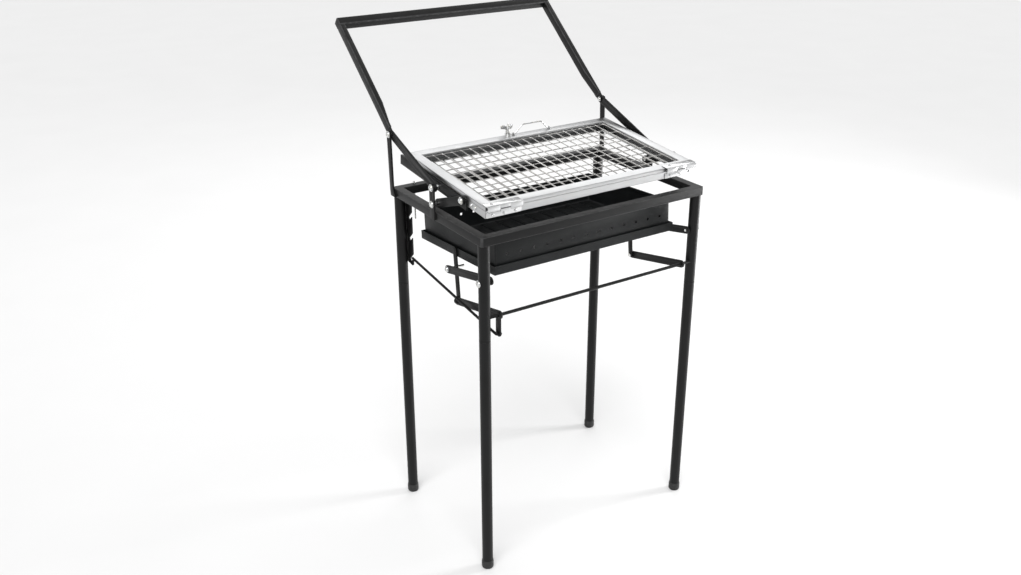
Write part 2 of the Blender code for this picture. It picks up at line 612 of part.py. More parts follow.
def build_clasp(mats, basket):
    """Swing stud with an eye round the bracket's pin, and the wing nut on its thread."""
    axis = add_empty("clasp_axis", (CLASP_X, *CLASP_AXIS), 0.0, basket)
    stud = add_object("clasp_stud", rod(0.0042, -0.0050, 0.0050, Vector((0, 0)), 14), mats["zinc"], axis)
    height = STUD_TOP - CLASP_AXIS[1]
    weld(stud, turned([(0, 0.0030), (0.0024, 0.0030), (0.0024, height), (0, height)], 12), axis)
    drill(stud, 0.0019, -0.01, 0.01, Vector((0, 0)), axis, 10)
    seat = UPPER_TOP - CLASP_AXIS[1] + GAP
    nut_axis = add_empty("wing_nut_axis", (0.0, 0.0, seat), 0.0, axis)
    hub = turned([(0.0028, 0.0), (0.0062, 0.0), (0.0046, 0.0130), (0.0028, 0.0130), (0.0028, 0.0)], 16)
    nut = add_object("wing_nut", hub, mats["zinc"], nut_axis)
    for side in (-1, 1):
        wing = prism([Vector((0.0036, 0.0040)), Vector((0.0056, 0.0040)), Vector((0.0186, 0.0160)),
                      Vector((0.0202, 0.0205)), Vector((0.0190, 0.0245)), Vector((0.0145, 0.0235)),
                      Vector((0.0036, 0.0115))], -0.0011, 0.0011)
        bmesh.ops.rotate(wing, verts=wing.verts, cent=(0, 0, 0),
                         matrix=Matrix.Rotation(side * math.pi / 2, 3, "Z"))
        weld(nut, wing, nut_axis)


# ---------------------------------------------------------------- tray and lifting gear
def build_tray(mats, shaft):
    lower_end = SHAFT + ARM_VECTOR
    carrier_axis = add_empty("tray_axis", (0.0, *ARM_VECTOR), 0.0, shaft)
    local = CARRIER_CORNER - lower_end
    tilted = add_empty("tray_tilt", (0.0, local.x, local.y), TRAY_TILT, carrier_axis)
    section = [(0.0, 0.0), (CARRIER_LEDGE, 0.0), (CARRIER_LEDGE, 0.0015), (0.0015, 0.0015),
               (0.0015, CARRIER_HEIGHT), (0.0, CARRIER_HEIGHT)]
    add_object("tray_carrier", frame_ring(CARRIER_HALF, 0.0, CARRIER_DEPTH, section), mats["tray"], tilted)
    floor = 0.0015 + GAP
    bm = box((-TRAY_HALF, TRAY_MARGIN, floor), (TRAY_HALF, CARRIER_DEPTH - TRAY_MARGIN, floor + TRAY_DEPTH))
    tray = add_object("charcoal_tray", bm, mats["tray"], tilted)
    hollow = box((-TRAY_HALF + TRAY_SHEET, TRAY_MARGIN + TRAY_SHEET, floor + TRAY_SHEET),
                 (TRAY_HALF - TRAY_SHEET, CARRIER_DEPTH - TRAY_MARGIN - TRAY_SHEET,
                  floor + TRAY_DEPTH + 0.01))
    combine(tray, add_object("tray_hollow", hollow, mats["tray"], tilted), "DIFFERENCE")
    upper_joint = UPPER_ARM_FOOT - SHAFT
    for label, sign in SIDES:
        low, high = layer(sign, HANGER_LAYER)
        top = upper_joint + (upper_joint.normalized() * 0.040)
        bar = link_outline(Vector((0.0, 0.0)), top, HANGER_WIDTH)
        hanger = add_object("hanger_" + label, prism(bar, low, high), mats["paint"], carrier_axis)
        pin_low, pin_high = sorted((sign * 0.2290, sign * (UPPER_ARM_LAYER[1] + GAP)))
        shank, head = bolt(pin_low, pin_high, upper_joint, sign, 0.0030)
        weld(hanger, shank, carrier_axis)
        weld(hanger, head, carrier_axis)
        foot_low, foot_high = sorted((sign * HANGER_LAYER[0], sign * (LOWER_ARM_LAYER[1] + GAP)))
        shank, head = bolt(foot_low, foot_high, Vector((0.0, 0.0)), sign, 0.0030)
        weld(hanger, shank, carrier_axis)
        weld(hanger, head, carrier_axis)


def build_lift(mats):
    shaft = add_empty("lift_shaft_axis", (0.0, SHAFT.x, SHAFT.y))
    half = FRAME_LENGTH / 2 - LEG_INSET - 0.0020
    origin = Vector((0.0, 0.0))
    add_object("lift_shaft", rod(SHAFT_RADIUS, -half, half, origin, 12), mats["paint"], shaft)
    crank_tip = CRANK_TIP - SHAFT
    outline = link_outline(origin, ARM_VECTOR, LIFT_ARM_WIDTH)
    for label, sign in SIDES:
        low, high = layer(sign, LOWER_ARM_LAYER)
        arm = add_object("lift_arm_" + label, prism(outline, low, high), mats["paint"], shaft)
        drill(arm, SHAFT_RADIUS + GAP, low - 0.01, high + 0.01, origin, shaft, 12)
        drill(arm, 0.0034, low - 0.01, high + 0.01, ARM_VECTOR, shaft, 12)
    crank = add_object("lift_crank", prism(link_outline(origin, crank_tip, 0.011),
                                           -LOWER_ARM_LAYER[1] - GAP - 0.0030, -LOWER_ARM_LAYER[1] - GAP),
                       mats["paint"], shaft)
    drill(crank, SHAFT_RADIUS + GAP, -0.27, -0.24, origin, shaft, 12)
    build_upper_arms(mats)
    build_tray(mats, shaft)
    build_tie_rod(mats, shaft, crank_tip)


def build_upper_arms(mats):
    for label, sign in SIDES:
        axis = add_empty("upper_arm_axis_" + label, (0.0, *UPPER_ARM_FOOT))
        low, high = layer(sign, UPPER_ARM_LAYER)
        origin = Vector((0.0, 0.0))
        outline = link_outline(origin, ARM_VECTOR, LIFT_ARM_WIDTH)
        arm = add_object("tray_arm_" + label, prism(outline, low, high), mats["paint"], axis)
        drill(arm, 0.0034, low - 0.01, high + 0.01, origin, axis, 12)
        drill(arm, 0.0034, low - 0.01, high + 0.01, ARM_VECTOR, axis, 12)
        outer = sign * (FRAME_LENGTH / 2 + GAP)
        inner = sign * (UPPER_ARM_LAYER[0] - 0.0030)
        shank_low, shank_high = sorted((inner, outer))
        shank, head = bolt(shank_low, shank_high, UPPER_ARM_FOOT, sign, 0.0030)
        leg_bolt = add_object("leg_bolt_" + label, shank, mats["zinc"])
        weld(leg_bolt, head)


def build_tie_rod(mats, shaft, crank_tip):
    axis = add_empty("tie_rod_axis", (0.0, *crank_tip), 0.0, shaft)
    reach = TIE_REAR - CRANK_TIP
    front_x, rear_x = TIE_X
    path = [(front_x, 0.0, 0.0), (rear_x, reach.x - 0.004, reach.y * (1 - 0.004 / reach.x)),
            (rear_x, reach.x, reach.y)]
    curve = bpy.data.curves.new("tie_rod", "CURVE")
    curve.dimensions = "3D"
    curve.bevel_depth = TIE_RADIUS
    curve.bevel_resolution = 2
    curve.use_fill_caps = True
    spline = curve.splines.new("POLY")
    spline.points.add(len(path) - 1)
    for point, place in zip(spline.points, path):
        point.co = (*place, 1.0)
    curve.materials.append(mats["paint"])
    tie = bpy.data.objects.new("tie_rod", curve)
    tie.parent = axis
    bpy.context.collection.objects.link(tie)


def centre_origin():
    """Move everything so that the origin lies under the middle of the whole grill."""
    for obj in bpy.data.objects:
        if obj.parent is None:
            obj.location.y -= DEPTH_CENTRE


def main():
    clear_scene()
    mats = make_materials()
    build_frame(mats)
    build_legs(mats)
    build_posts(mats)
    build_brackets(mats)
    build_rack(mats)
    build_rail_pin(mats)
    handle = build_handle(mats)
    build_guide_links(mats)
    basket = build_basket(mats, handle)
    build_lid(mats, basket)
    build_clasp(mats, basket)
    build_lift(mats)
    centre_origin()


main()
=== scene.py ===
"""Standing charcoal grill with a flip-over basket: its looks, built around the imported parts.

Axes: +X to the right, +Y to the rear (handle side), +Z up, in metres.
"""
import json
import math

import bmesh
import bpy
from mathutils import Matrix, Vector


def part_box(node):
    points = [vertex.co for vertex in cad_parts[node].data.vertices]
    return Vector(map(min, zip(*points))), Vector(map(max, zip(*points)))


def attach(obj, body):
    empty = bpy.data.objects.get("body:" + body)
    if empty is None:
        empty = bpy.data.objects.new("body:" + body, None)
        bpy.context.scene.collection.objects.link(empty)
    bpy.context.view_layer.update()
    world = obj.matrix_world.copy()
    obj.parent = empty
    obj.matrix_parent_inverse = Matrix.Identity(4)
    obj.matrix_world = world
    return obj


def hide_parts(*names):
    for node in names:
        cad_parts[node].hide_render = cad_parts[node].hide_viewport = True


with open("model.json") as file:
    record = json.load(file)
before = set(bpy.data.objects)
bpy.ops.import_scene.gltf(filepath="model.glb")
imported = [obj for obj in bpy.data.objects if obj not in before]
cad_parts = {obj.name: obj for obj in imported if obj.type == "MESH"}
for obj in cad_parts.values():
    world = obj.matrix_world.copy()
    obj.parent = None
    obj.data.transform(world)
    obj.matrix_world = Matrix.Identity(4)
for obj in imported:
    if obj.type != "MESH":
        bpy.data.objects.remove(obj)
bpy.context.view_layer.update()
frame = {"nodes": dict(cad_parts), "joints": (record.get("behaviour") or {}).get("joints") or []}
PIVOTS = {joint["name"]: Vector(joint["pos_m"]) for joint in frame["joints"]}
NUT_AXIS = next(Vector(joint["axis"]) for joint in frame["joints"] if joint["name"] == "wing_nut_turn")

# ---- sizes
RAIL = 0.020
LEG_RADIUS = 0.0125
LEG_BORE = 0.0113
LEG_PLUG = 0.0110
LEG_WALL = 0.0012
FOOT_RADIUS = 0.0140
POST_OUTER = 0.3043           # outer X of the posts and brackets
POST_INNER = 0.3003
LEVER_INNER = 0.2945
ARM_BAND = (0.2855, 0.2995)   # inner and outer X of the handle's arms
PRESSED_BAND = (0.2925, 0.2999)
LINK_BAND = (0.2862, 0.2902)
HANGER_BAND = (0.2463, 0.2503)
LINK_REACH = Vector((0.0, -0.100, 0.035))
SHAFT_RADIUS = 0.0037
TIE_ROD_RADIUS = 0.0031
WELD_SIZE = 0.0012
BRACKET_WIDENING = 1.4
CRANK_WIDENING = 1.6
ARM_RISE = math.radians(39.6)
SIDE_BAR_OUTER = 0.2853
SIDE_BAR_INNER = 0.2803
BOLT_RADIUS = 0.0037
HEAD_RADIUS = 0.0066
HEAD_HEIGHT = 0.0034
WASHER_HEIGHT = 0.0008

# Basket, in its own leaning frame: Y along its depth, Z square to it, origin at the flip joint
BASKET_HALF = 0.280
BASKET_FRONT = -0.180
BASKET_REAR = 0.156
FLANGE = 0.025
SHEET = 0.0012
LOWER_BOTTOM = -0.0040
LOWER_TOP = 0.0125
UPPER_BOTTOM = 0.0135
UPPER_TOP = 0.0215
LIP = 0.0035
GRID_PITCH = 0.0245
GRID_CROSS_PITCH = 0.0520
UPPER_GRID = (0.0165, 0.0011)     # level and radius of the long wires
LOWER_GRID = (0.0012, 0.0012)
HINGE_CENTRE = 0.236
HINGE_HALF = 0.043
HINGE_AXIS = (-0.185, 0.013)
HINGE_BARREL = 0.0030
KNUCKLE_HALF = 0.012
RIVET = (0.0026, 0.0012, 0.0009)
CLASP_X = -0.004
CLASP_AXIS = (0.1655, 0.0020)
STUD_TOP = 0.0456
BAIL_AXIS = (0.1495, 0.0237)
BAIL_SPAN = (0.006, 0.100)
BAIL_HEIGHT = 0.020
WIRE = 0.0016

# Tray, in its own leaning frame: origin at the lower front edge of the carrier
TRAY_PLACE = Vector((0.0, -0.28934, 0.7245))
TRAY_TILT = math.radians(-3.5)
CARRIER_HALF = 0.246
CARRIER_DEPTH = 0.322
CARRIER_HEIGHT = 0.020
CARRIER_LEDGE = 0.018
TRAY_HALF = 0.240
TRAY_FRONT = 0.0055
TRAY_REAR = 0.3165
TRAY_FLOOR = 0.0018
TRAY_TOP = 0.0738

WORLD_LIGHT = 0.55            # strength of the surroundings as light, and as seen behind the grill
WORLD_SEEN = 0.92
SHARP_ANGLE = 34              # degrees, past which an edge is shaded sharp

SIDES = (("left", -1), ("right", 1))
CORNERS = ("front_left", "front_right", "rear_left", "rear_right")

BASKET = (Matrix.Translation(PIVOTS["basket_flip"])
          @ Matrix.Rotation(math.atan2(-NUT_AXIS.y, NUT_AXIS.z), 4, "X"))
HANDLE = Matrix.Translation(PIVOTS["handle_lift"]) @ Matrix.Rotation(ARM_RISE, 4, "X")
TRAY = Matrix.Translation(TRAY_PLACE) @ Matrix.Rotation(TRAY_TILT, 4, "X")


# ---- node helpers
def put_node(tree, kind, settings=None, **inputs):
    """Add a node; its inputs are values or the sockets of other nodes."""
    made = tree.nodes.new(kind)
    for name, value in (settings or {}).items():
        setattr(made, name, value)
    for name, value in inputs.items():
        plug(tree, made.inputs[name.replace("_", " ")], value)
    return made


def plug(tree, socket, value):
    if isinstance(value, bpy.types.NodeSocket):
        tree.links.new(value, socket)
    else:
        socket.default_value = value


def calculate(tree, operation, first, second=0.0, clamp=False):
    made = tree.nodes.new("ShaderNodeMath")
    made.operation = operation
    made.use_clamp = clamp
    plug(tree, made.inputs[0], first)
    plug(tree, made.inputs[1], second)
    return made.outputs[0]


def multiply(tree, first, second, clamp=False):
    return calculate(tree, "MULTIPLY", first, second, clamp)


def remap(tree, value, low, high, new_low, new_high):
    made = put_node(tree, "ShaderNodeMapRange", {"clamp": True}, Value=value, From_Min=low, From_Max=high,
                    To_Min=new_low, To_Max=new_high)
    return made.outputs["Result"]


def mix_colour(tree, factor, first, second):
    made = tree.nodes.new("ShaderNodeMix")
    made.data_type = "RGBA"
    plug(tree, made.inputs[0], factor)
    plug(tree, made.inputs[6], first)
    plug(tree, made.inputs[7], second)
    return made.outputs[2]


def noise(tree, vector, scale, detail=3.0, roughness=0.5):
    made = put_node(tree, "ShaderNodeTexNoise", None, Vector=vector, Scale=scale, Detail=detail,
                    Roughness=roughness)
    return made.outputs["Fac"]


def start_group(name, inputs, outputs):
    """Empty shader group with float inputs (a vector where the default is None) and float outputs."""
    tree = bpy.data.node_groups.new(name, "ShaderNodeTree")
    for label, default in inputs.items():
        kind = "NodeSocketVector" if default is None else "NodeSocketFloat"
        socket = tree.interface.new_socket(label, in_out="INPUT", socket_type=kind)
        if default is not None:
            socket.default_value = default
    for label in outputs:
        tree.interface.new_socket(label, in_out="OUTPUT", socket_type="NodeSocketFloat")
    source = tree.nodes.new("NodeGroupInput")
    sink = tree.nodes.new("NodeGroupOutput")
    return tree, source.outputs, sink.inputs


def use_group(tree, group, **inputs):
    made = tree.nodes.new("ShaderNodeGroup")
    made.node_tree = group
    for name, value in inputs.items():
        plug(tree, made.inputs[name.replace("_", " ")], value)
    return made.outputs


# ---- shared effects
def make_coat_grain():
    """Fine orange peel of baked paint, with a slow cloudiness."""
    tree, source, sink = start_group("coat_grain", {"Vector": None, "Scale": 900.0}, ("Height", "Cloud"))
    fine = noise(tree, source["Vector"], source["Scale"], 2.0)
    coarse = noise(tree, source["Vector"], multiply(tree, source["Scale"], 0.28), 3.0)
    height = calculate(tree, "ADD", multiply(tree, fine, 0.6), multiply(tree, coarse, 0.4))
    tree.links.new(height, sink["Height"])
    tree.links.new(noise(tree, source["Vector"], 14.0, 4.0), sink["Cloud"])
    return tree


def make_rim_wear_and_painted_edge_highlight():
    """Where handling has thinned the finish on rounded edges, lightened also as a painted highlight along
    those edges.
    """
    tree, source, sink = start_group("rim_wear_and_painted_edge_highlight", {"Vector": None, "Amount": 0.5}, ("Mask",))
    rim = put_node(tree, "ShaderNodeAttribute", {"attribute_name": "rim"}).outputs["Fac"]
    patchy = remap(tree, noise(tree, source["Vector"], 60.0, 5.0, 0.6), 0.30, 0.66, 0.2, 1.0)
    worn_and_painted_highlight = multiply(tree, multiply(tree, rim, patchy), source["Amount"], True)
    tree.links.new(worn_and_painted_highlight, sink["Mask"])
    return tree


def make_dust_and_painted_top_light():
    """Thin dust on surfaces that look up, which also paints those faces lighter as painted light from above.
    """
    tree, source, sink = start_group("settled_dust_and_painted_top_light", {"Vector": None, "Amount": 0.2}, ("Mask",))
    normal = put_node(tree, "ShaderNodeNewGeometry").outputs["Normal"]
    split = put_node(tree, "ShaderNodeSeparateXYZ", None, Vector=normal).outputs["Z"]
    up = remap(tree, split, 0.5, 1.0, 0.0, 1.0)
    patchy = remap(tree, noise(tree, source["Vector"], 35.0, 5.0, 0.65), 0.35, 0.75, 0.2, 1.0)
    mask = multiply(tree, multiply(tree, up, patchy), source["Amount"], True)
    tree.links.new(mask, sink["Mask"])
    return tree


def make_brush_lines():
    """Long parallel scratches that run along the first coordinate of the grain map."""
    tree, source, sink = start_group("brush_lines", {"Vector": None, "Fineness": 1.0}, ("Height", "Tone"))
    parts = put_node(tree, "ShaderNodeSeparateXYZ", None, Vector=source["Vector"]).outputs
    layers = []
    for along, across, detail in ((9.0, 1500.0, 2.0), (3.0, 420.0, 3.0)):
        x = multiply(tree, parts["X"], along)
        y = multiply(tree, multiply(tree, parts["Y"], across), source["Fineness"])
        stretched = put_node(tree, "ShaderNodeCombineXYZ", None, X=x, Y=y).outputs[0]
        layers.append(noise(tree, stretched, 1.0, detail, 0.6))
    tree.links.new(layers[0], sink["Height"])
    both = calculate(tree, "ADD", multiply(tree, layers[0], 0.5), multiply(tree, layers[1], 0.5))
    tree.links.new(both, sink["Tone"])
    return tree


GROUPS = {"grain": make_coat_grain(), "wear_and_painted_edge_highlight": make_rim_wear_and_painted_edge_highlight(), "dust_and_painted_top_light": make_dust_and_painted_top_light(),
          "brush": make_brush_lines()}


# ---- materials
def start_material(name):
    material = bpy.data.materials.new(name)
    material.use_nodes = True
    tree = material.node_tree
    tree.nodes.clear()
    shader = tree.nodes.new("ShaderNodeBsdfPrincipled")
    output = tree.nodes.new("ShaderNodeOutputMaterial")
    tree.links.new(shader.outputs[0], output.inputs["Surface"])
    return material, tree, shader


def coordinates(tree, grain_map=False):
    if grain_map:
        return put_node(tree, "ShaderNodeUVMap", {"uv_map": "grain"}).outputs[0]
    return tree.nodes.new("ShaderNodeTexCoord").outputs["Object"]


def add_bump(tree, shader, height, strength, distance):
    bump = put_node(tree, "ShaderNodeBump", None, Height=height, Strength=strength, Distance=distance)
    tree.links.new(bump.outputs[0], shader.inputs["Normal"])


def grey(level, tint=(1.0, 1.0, 1.0)):
    return (level * tint[0], level * tint[1], level * tint[2], 1.0)


def painted(name, dark, light, roughness, grain, wear_and_painted_edge_highlight, dust_and_painted_top_light, specular=0.5):
    """Baked black paint: cloudy tone, orange peel, rubbed edges that also carry a painted edge highlight,
    and a little dust that also paints up-facing faces lighter as painted light.
    """
    material, tree, shader = start_material(name)
    place = coordinates(tree)
    coat = use_group(tree, GROUPS["grain"], Vector=place, Scale=grain)
    worn_and_painted_highlight = use_group(tree, GROUPS["wear_and_painted_edge_highlight"], Vector=place, Amount=wear_and_painted_edge_highlight)["Mask"]
    dust_and_painted_top_light_mask = use_group(tree, GROUPS["dust_and_painted_top_light"], Vector=place, Amount=dust_and_painted_top_light)["Mask"]
    tone = mix_colour(tree, remap(tree, coat["Cloud"], 0.3, 0.7, 0.0, 1.0), dark, light)
    # Lighter grey on rounded edges: partly worn paint, partly a painted highlight along the edges.
    tone = mix_colour(tree, worn_and_painted_highlight, tone, grey(0.12, (1.0, 1.0, 1.02)))
    # Lighter grey on up-facing faces: partly dust, partly painted light falling from above.
    tone = mix_colour(tree, dust_and_painted_top_light_mask, tone, grey(0.16, (1.0, 0.98, 0.94)))
    tree.links.new(tone, shader.inputs["Base Color"])
    low, high = roughness
    rough = remap(tree, coat["Cloud"], 0.3, 0.7, low, high)
    rough = calculate(tree, "ADD", rough, multiply(tree, dust_and_painted_top_light_mask, 0.5), True)
    tree.links.new(rough, shader.inputs["Roughness"])
    shader.inputs["Specular IOR Level"].default_value = specular
    add_bump(tree, shader, coat["Height"], 0.18, 0.0004)
    return material


def brushed(name, colour, roughness, fineness, relief):
    """Stainless sheet with straight brush lines."""
    material, tree, shader = start_material(name)
    lines = use_group(tree, GROUPS["brush"], Vector=coordinates(tree, True), Fineness=fineness)
    clouds = noise(tree, coordinates(tree), 18.0, 3.0)
    tone = mix_colour(tree, remap(tree, lines["Tone"], 0.35, 0.65, 0.0, 1.0),
                      grey(colour * 0.86, (0.98, 1.0, 1.02)), grey(colour))
    tone = mix_colour(tree, remap(tree, clouds, 0.35, 0.75, 0.0, 0.22), tone,
                      grey(colour * 0.74, (1.0, 0.99, 0.96)))
    tree.links.new(tone, shader.inputs["Base Color"])
    low, high = roughness
    rough = calculate(tree, "ADD", remap(tree, lines["Tone"], 0.3, 0.7, low, high),
                      remap(tree, clouds, 0.3, 0.7, 0.0, 0.05))
    tree.links.new(rough, shader.inputs["Roughness"])
    shader.inputs["Metallic"].default_value = 1.0
    add_bump(tree, shader, lines["Height"], relief, 0.0002)
    return material


def plated(name, first, second, roughness, scale):
    """Plated wire and hardware: bright, with a patchy film and tiny pits."""
    material, tree, shader = start_material(name)
    place = coordinates(tree)
    film = remap(tree, noise(tree, place, scale, 4.0, 0.6), 0.35, 0.68, 0.0, 1.0)
    pits = noise(tree, place, 2600.0, 2.0)
    tree.links.new(mix_colour(tree, film, first, second), shader.inputs["Base Color"])
    low, high = roughness
    tree.links.new(remap(tree, film, 0.0, 1.0, low, high), shader.inputs["Roughness"])
    shader.inputs["Metallic"].default_value = 1.0
    add_bump(tree, shader, pits, 0.10, 0.0001)
    return material


def moulded(name, dark, light, roughness):
    """Black moulded plastic with a fine texture."""
    material, tree, shader = start_material(name)
    place = coordinates(tree)
    coat = use_group(tree, GROUPS["grain"], Vector=place, Scale=2200.0)
    scuffs = remap(tree, noise(tree, place, 160.0, 5.0, 0.7), 0.55, 0.8, 0.0, 0.5)
    tone = mix_colour(tree, coat["Cloud"], dark, light)
    tone = mix_colour(tree, scuffs, tone, grey(0.09))
    tree.links.new(tone, shader.inputs["Base Color"])
    tree.links.new(remap(tree, coat["Height"], 0.3, 0.7, roughness[0], roughness[1]),
                   shader.inputs["Roughness"])
    add_bump(tree, shader, coat["Height"], 0.35, 0.0003)
    return material


MATERIALS = {
    # The tube paint's dust of 0.10 is set high to paint its up-facing tops lighter, as painted light.
    # The tube paint's high edge wear of 0.42 also paints a thin highlight along its edges.
    "paint": painted("satin_black_tube", grey(0.0045), grey(0.0070, (0.97, 1.0, 1.03)), (0.38, 0.46),
                     900.0, 0.42, 0.10, 0.22),
    "bar": painted("satin_black_bar", grey(0.0045), grey(0.0070, (0.99, 1.0, 1.02)), (0.38, 0.50),
                   700.0, 0.30, 0.03, 0.20),
    "tray": painted("tray_enamel_black", grey(0.0065, (0.90, 1.0, 1.05)), grey(0.0100, (0.88, 1.0, 1.04)),
                    (0.40, 0.52), 500.0, 0.16, 0.04, 0.20),
    "steel": brushed("brushed_stainless", 0.55, (0.24, 0.36), 1.0, 0.10),
    "hinge": brushed("hinge_steel", 0.66, (0.14, 0.24), 1.4, 0.05),
    "wire": plated("bright_wire", grey(0.72, (1.0, 0.99, 0.97)), grey(0.60, (1.0, 0.98, 0.95)),
                   (0.16, 0.28), 40.0),
    "zinc": plated("zinc_plate", grey(0.80, (0.98, 1.0, 1.03)), grey(0.66, (1.0, 0.98, 0.90)),
                   (0.16, 0.30), 120.0),
    "foot": moulded("foot_plastic_black", grey(0.006), grey(0.010), (0.45, 0.62)),
}


# ---- mesh helpers
def start_mesh():
    bm = bmesh.new()
    bm.faces.layers.float.new("rim")
    bm.loops.layers.uv.new("grain")
    return bm


def piece(name, bm, finish, body, nodes=(), place=None):
    """Finished object from a mesh: shaded, riding on its body, standing for the named CAD nodes."""
    if place is not None:
        bmesh.ops.transform(bm, matrix=place, verts=bm.verts)
    bmesh.ops.recalc_face_normals(bm, faces=bm.faces)
    mesh = bpy.data.meshes.new(name)
    bm.to_mesh(mesh)
    bm.free()
    mesh.shade_smooth()
    mesh.set_sharp_from_angle(angle=math.radians(SHARP_ANGLE))
    mesh.materials.append(MATERIALS[finish])
    obj = bpy.data.objects.new(name, mesh)
    bpy.context.scene.collection.objects.link(obj)
    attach(obj, body)
    if nodes:
        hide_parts(*nodes)


def round_edges(bm, width, segments=2, edges=None, least=30.0, mark=1.0):
    """Bevel the given edges, or every edge sharper than least degrees, and mark the new faces."""
    rim = bm.faces.layers.float["rim"]
    if edges is None:
        limit = math.radians(least)
        edges = [edge for edge in bm.edges if edge.is_manifold and edge.calc_face_angle() > limit]
    made = bmesh.ops.bevel(bm, geom=edges, offset=width, offset_type="OFFSET", segments=segments,
                           profile=0.5, affect="EDGES", clamp_overlap=True, material=-1)
    for face in made["faces"]:
        face[rim] = mark


def add_box(bm, low, high):
    low, high = Vector(low), Vector(high)
    made = bmesh.ops.create_cube(bm, size=1.0)["verts"]
    bmesh.ops.scale(bm, verts=made, vec=high - low)
    bmesh.ops.translate(bm, verts=made, vec=(low + high) / 2)


def edges_along(bm, axis, test=lambda middle: True):
    """Straight edges that run along the numbered axis and whose middle passes the test."""
    found = []
    for edge in bm.edges:
        run = edge.verts[1].co - edge.verts[0].co
        middle = (edge.verts[1].co + edge.verts[0].co) / 2
        if abs(run[axis]) > 0.999 * run.length and test(middle):
            found.append(edge)
    return found


def add_rod(bm, start, end, radius, sides=16):
    """Capped cylinder between two points."""
    start, end = Vector(start), Vector(end)
    turn = (end - start).to_track_quat("Z", "Y").to_matrix().to_4x4()
    place = Matrix.Translation((start + end) / 2) @ turn
    bmesh.ops.create_cone(bm, cap_ends=True, segments=sides, radius1=radius, radius2=radius,
                          depth=(end - start).length, matrix=place)


def add_turned(bm, profile, place, axis="Z", steps=32):
    """Spin a (radius, height) profile about Z, then lay it along the axis at the place."""
    verts = [bm.verts.new((radius, 0.0, height)) for radius, height in profile]
    edges = [bm.edges.new(pair) for pair in zip(verts, verts[1:])]
    before = set(bm.verts) - set(verts)
    bmesh.ops.spin(bm, geom=verts + edges, cent=(0, 0, 0), axis=(0, 0, 1), angle=2 * math.pi,
                   steps=steps, use_merge=True, use_duplicate=False)
    made = [vert for vert in bm.verts if vert not in before]
    bmesh.ops.remove_doubles(bm, verts=made, dist=2e-6)
    made = [vert for vert in bm.verts if vert not in before]
    turns = {"Z": Matrix.Identity(3), "X": Matrix.Rotation(math.pi / 2, 3, "Y"),
             "-X": Matrix.Rotation(-math.pi / 2, 3, "Y"), "-Y": Matrix.Rotation(math.pi / 2, 3, "X")}
    bmesh.ops.rotate(bm, verts=made, cent=(0, 0, 0), matrix=turns[axis])
    bmesh.ops.translate(bm, verts=made, vec=place)


def add_bent_rod(bm, points, radius, bend, sides=3):
    """Round rod along the points, with its corners bent over the given length."""
    points = [Vector(point) for point in points]
    path = [points[0]]
    for before, corner, after in zip(points, points[1:], points[2:]):
        first = corner + (before - corner).normalized() * bend
        last = corner + (after - corner).normalized() * bend
        for step in range(7):
            share = step / 6
            path.append(first.lerp(corner, share).lerp(corner.lerp(last, share), share))
    path.append(points[-1])
    curve = bpy.data.curves.new("bent_rod", "CURVE")
    curve.dimensions = "3D"
    curve.bevel_depth = radius
    curve.bevel_resolution = sides
    curve.use_fill_caps = True
    spline = curve.splines.new("POLY")
    spline.points.add(len(path) - 1)
    for point, where in zip(spline.points, path):
        point.co = (*where, 1.0)
    holder = bpy.data.objects.new("bent_rod", curve)
    mesh = bpy.data.meshes.new_from_object(holder)
    bm.from_mesh(mesh)
    bpy.data.objects.remove(holder)
    bpy.data.meshes.remove(mesh)
    bmesh.ops.remove_doubles(bm, verts=bm.verts, dist=1e-6)


def add_ring(bm, half, front, rear, level, width):
    """Flat rectangular ring of the given width, at the level."""
    bmesh.ops.create_grid(bm, x_segments=1, y_segments=1, size=0.5)
    bmesh.ops.scale(bm, verts=bm.verts, vec=(2 * half, rear - front, 1.0))
    bmesh.ops.translate(bm, verts=bm.verts, vec=(0.0, (front + rear) / 2, level))
    inner = list(bm.faces)
    bmesh.ops.inset_individual(bm, faces=inner, thickness=width, use_even_offset=True)
    bmesh.ops.delete(bm, geom=inner, context="FACES")


def merge_into(bm, part):
    """Move a finished part into the mesh."""
    carry = bpy.data.meshes.new("part")
    part.to_mesh(carry)
    part.free()
    bm.from_mesh(carry)
    bpy.data.meshes.remove(carry)


def widen(bm, y, factor):
    """Stretch the mesh front to back about the given Y."""
    bmesh.ops.scale(bm, verts=bm.verts, vec=(1.0, factor, 1.0), space=Matrix.Translation((0.0, -y, 0.0)))


def add_bead(bm, start, end, size):
    """Rippled weld bead: a close row of round drops."""
    start, end = Vector(start), Vector(end)
    count = max(2, round((end - start).length / (size * 0.75)))
    for step in range(count + 1):
        where = start.lerp(end, step / count)
        bmesh.ops.create_uvsphere(bm, u_segments=8, v_segments=6, radius=size,
                                  matrix=Matrix.Translation(where))


def cad_copy(node, keep_x=None):
    """Merged copy of a CAD node's mesh, cut down to a band of X if one is given."""
    bm = start_mesh()
    bm.from_mesh(frame["nodes"][node].data)
    bmesh.ops.remove_doubles(bm, verts=bm.verts, dist=2e-6)
    if keep_x is not None:
        for level, direction in ((keep_x[0], -1), (keep_x[1], 1)):
            geom = list(bm.verts) + list(bm.edges) + list(bm.faces)
            bmesh.ops.bisect_plane(bm, geom=geom, dist=1e-6, plane_co=(level, 0, 0),
                                   plane_no=(direction, 0, 0), clear_outer=True)
            bmesh.ops.holes_fill(bm, edges=[edge for edge in bm.edges if edge.is_boundary], sides=0)
    bmesh.ops.dissolve_limit(bm, angle_limit=math.radians(1.0), verts=bm.verts, edges=bm.edges)
    return bm


def soften(name, node, finish, body, width=0.0006, keep_x=None):
    """The CAD node's own shape with its edges rounded."""
    bm = cad_copy(node, keep_x)
    round_edges(bm, width)
    piece(name, bm, finish, body, (node,))


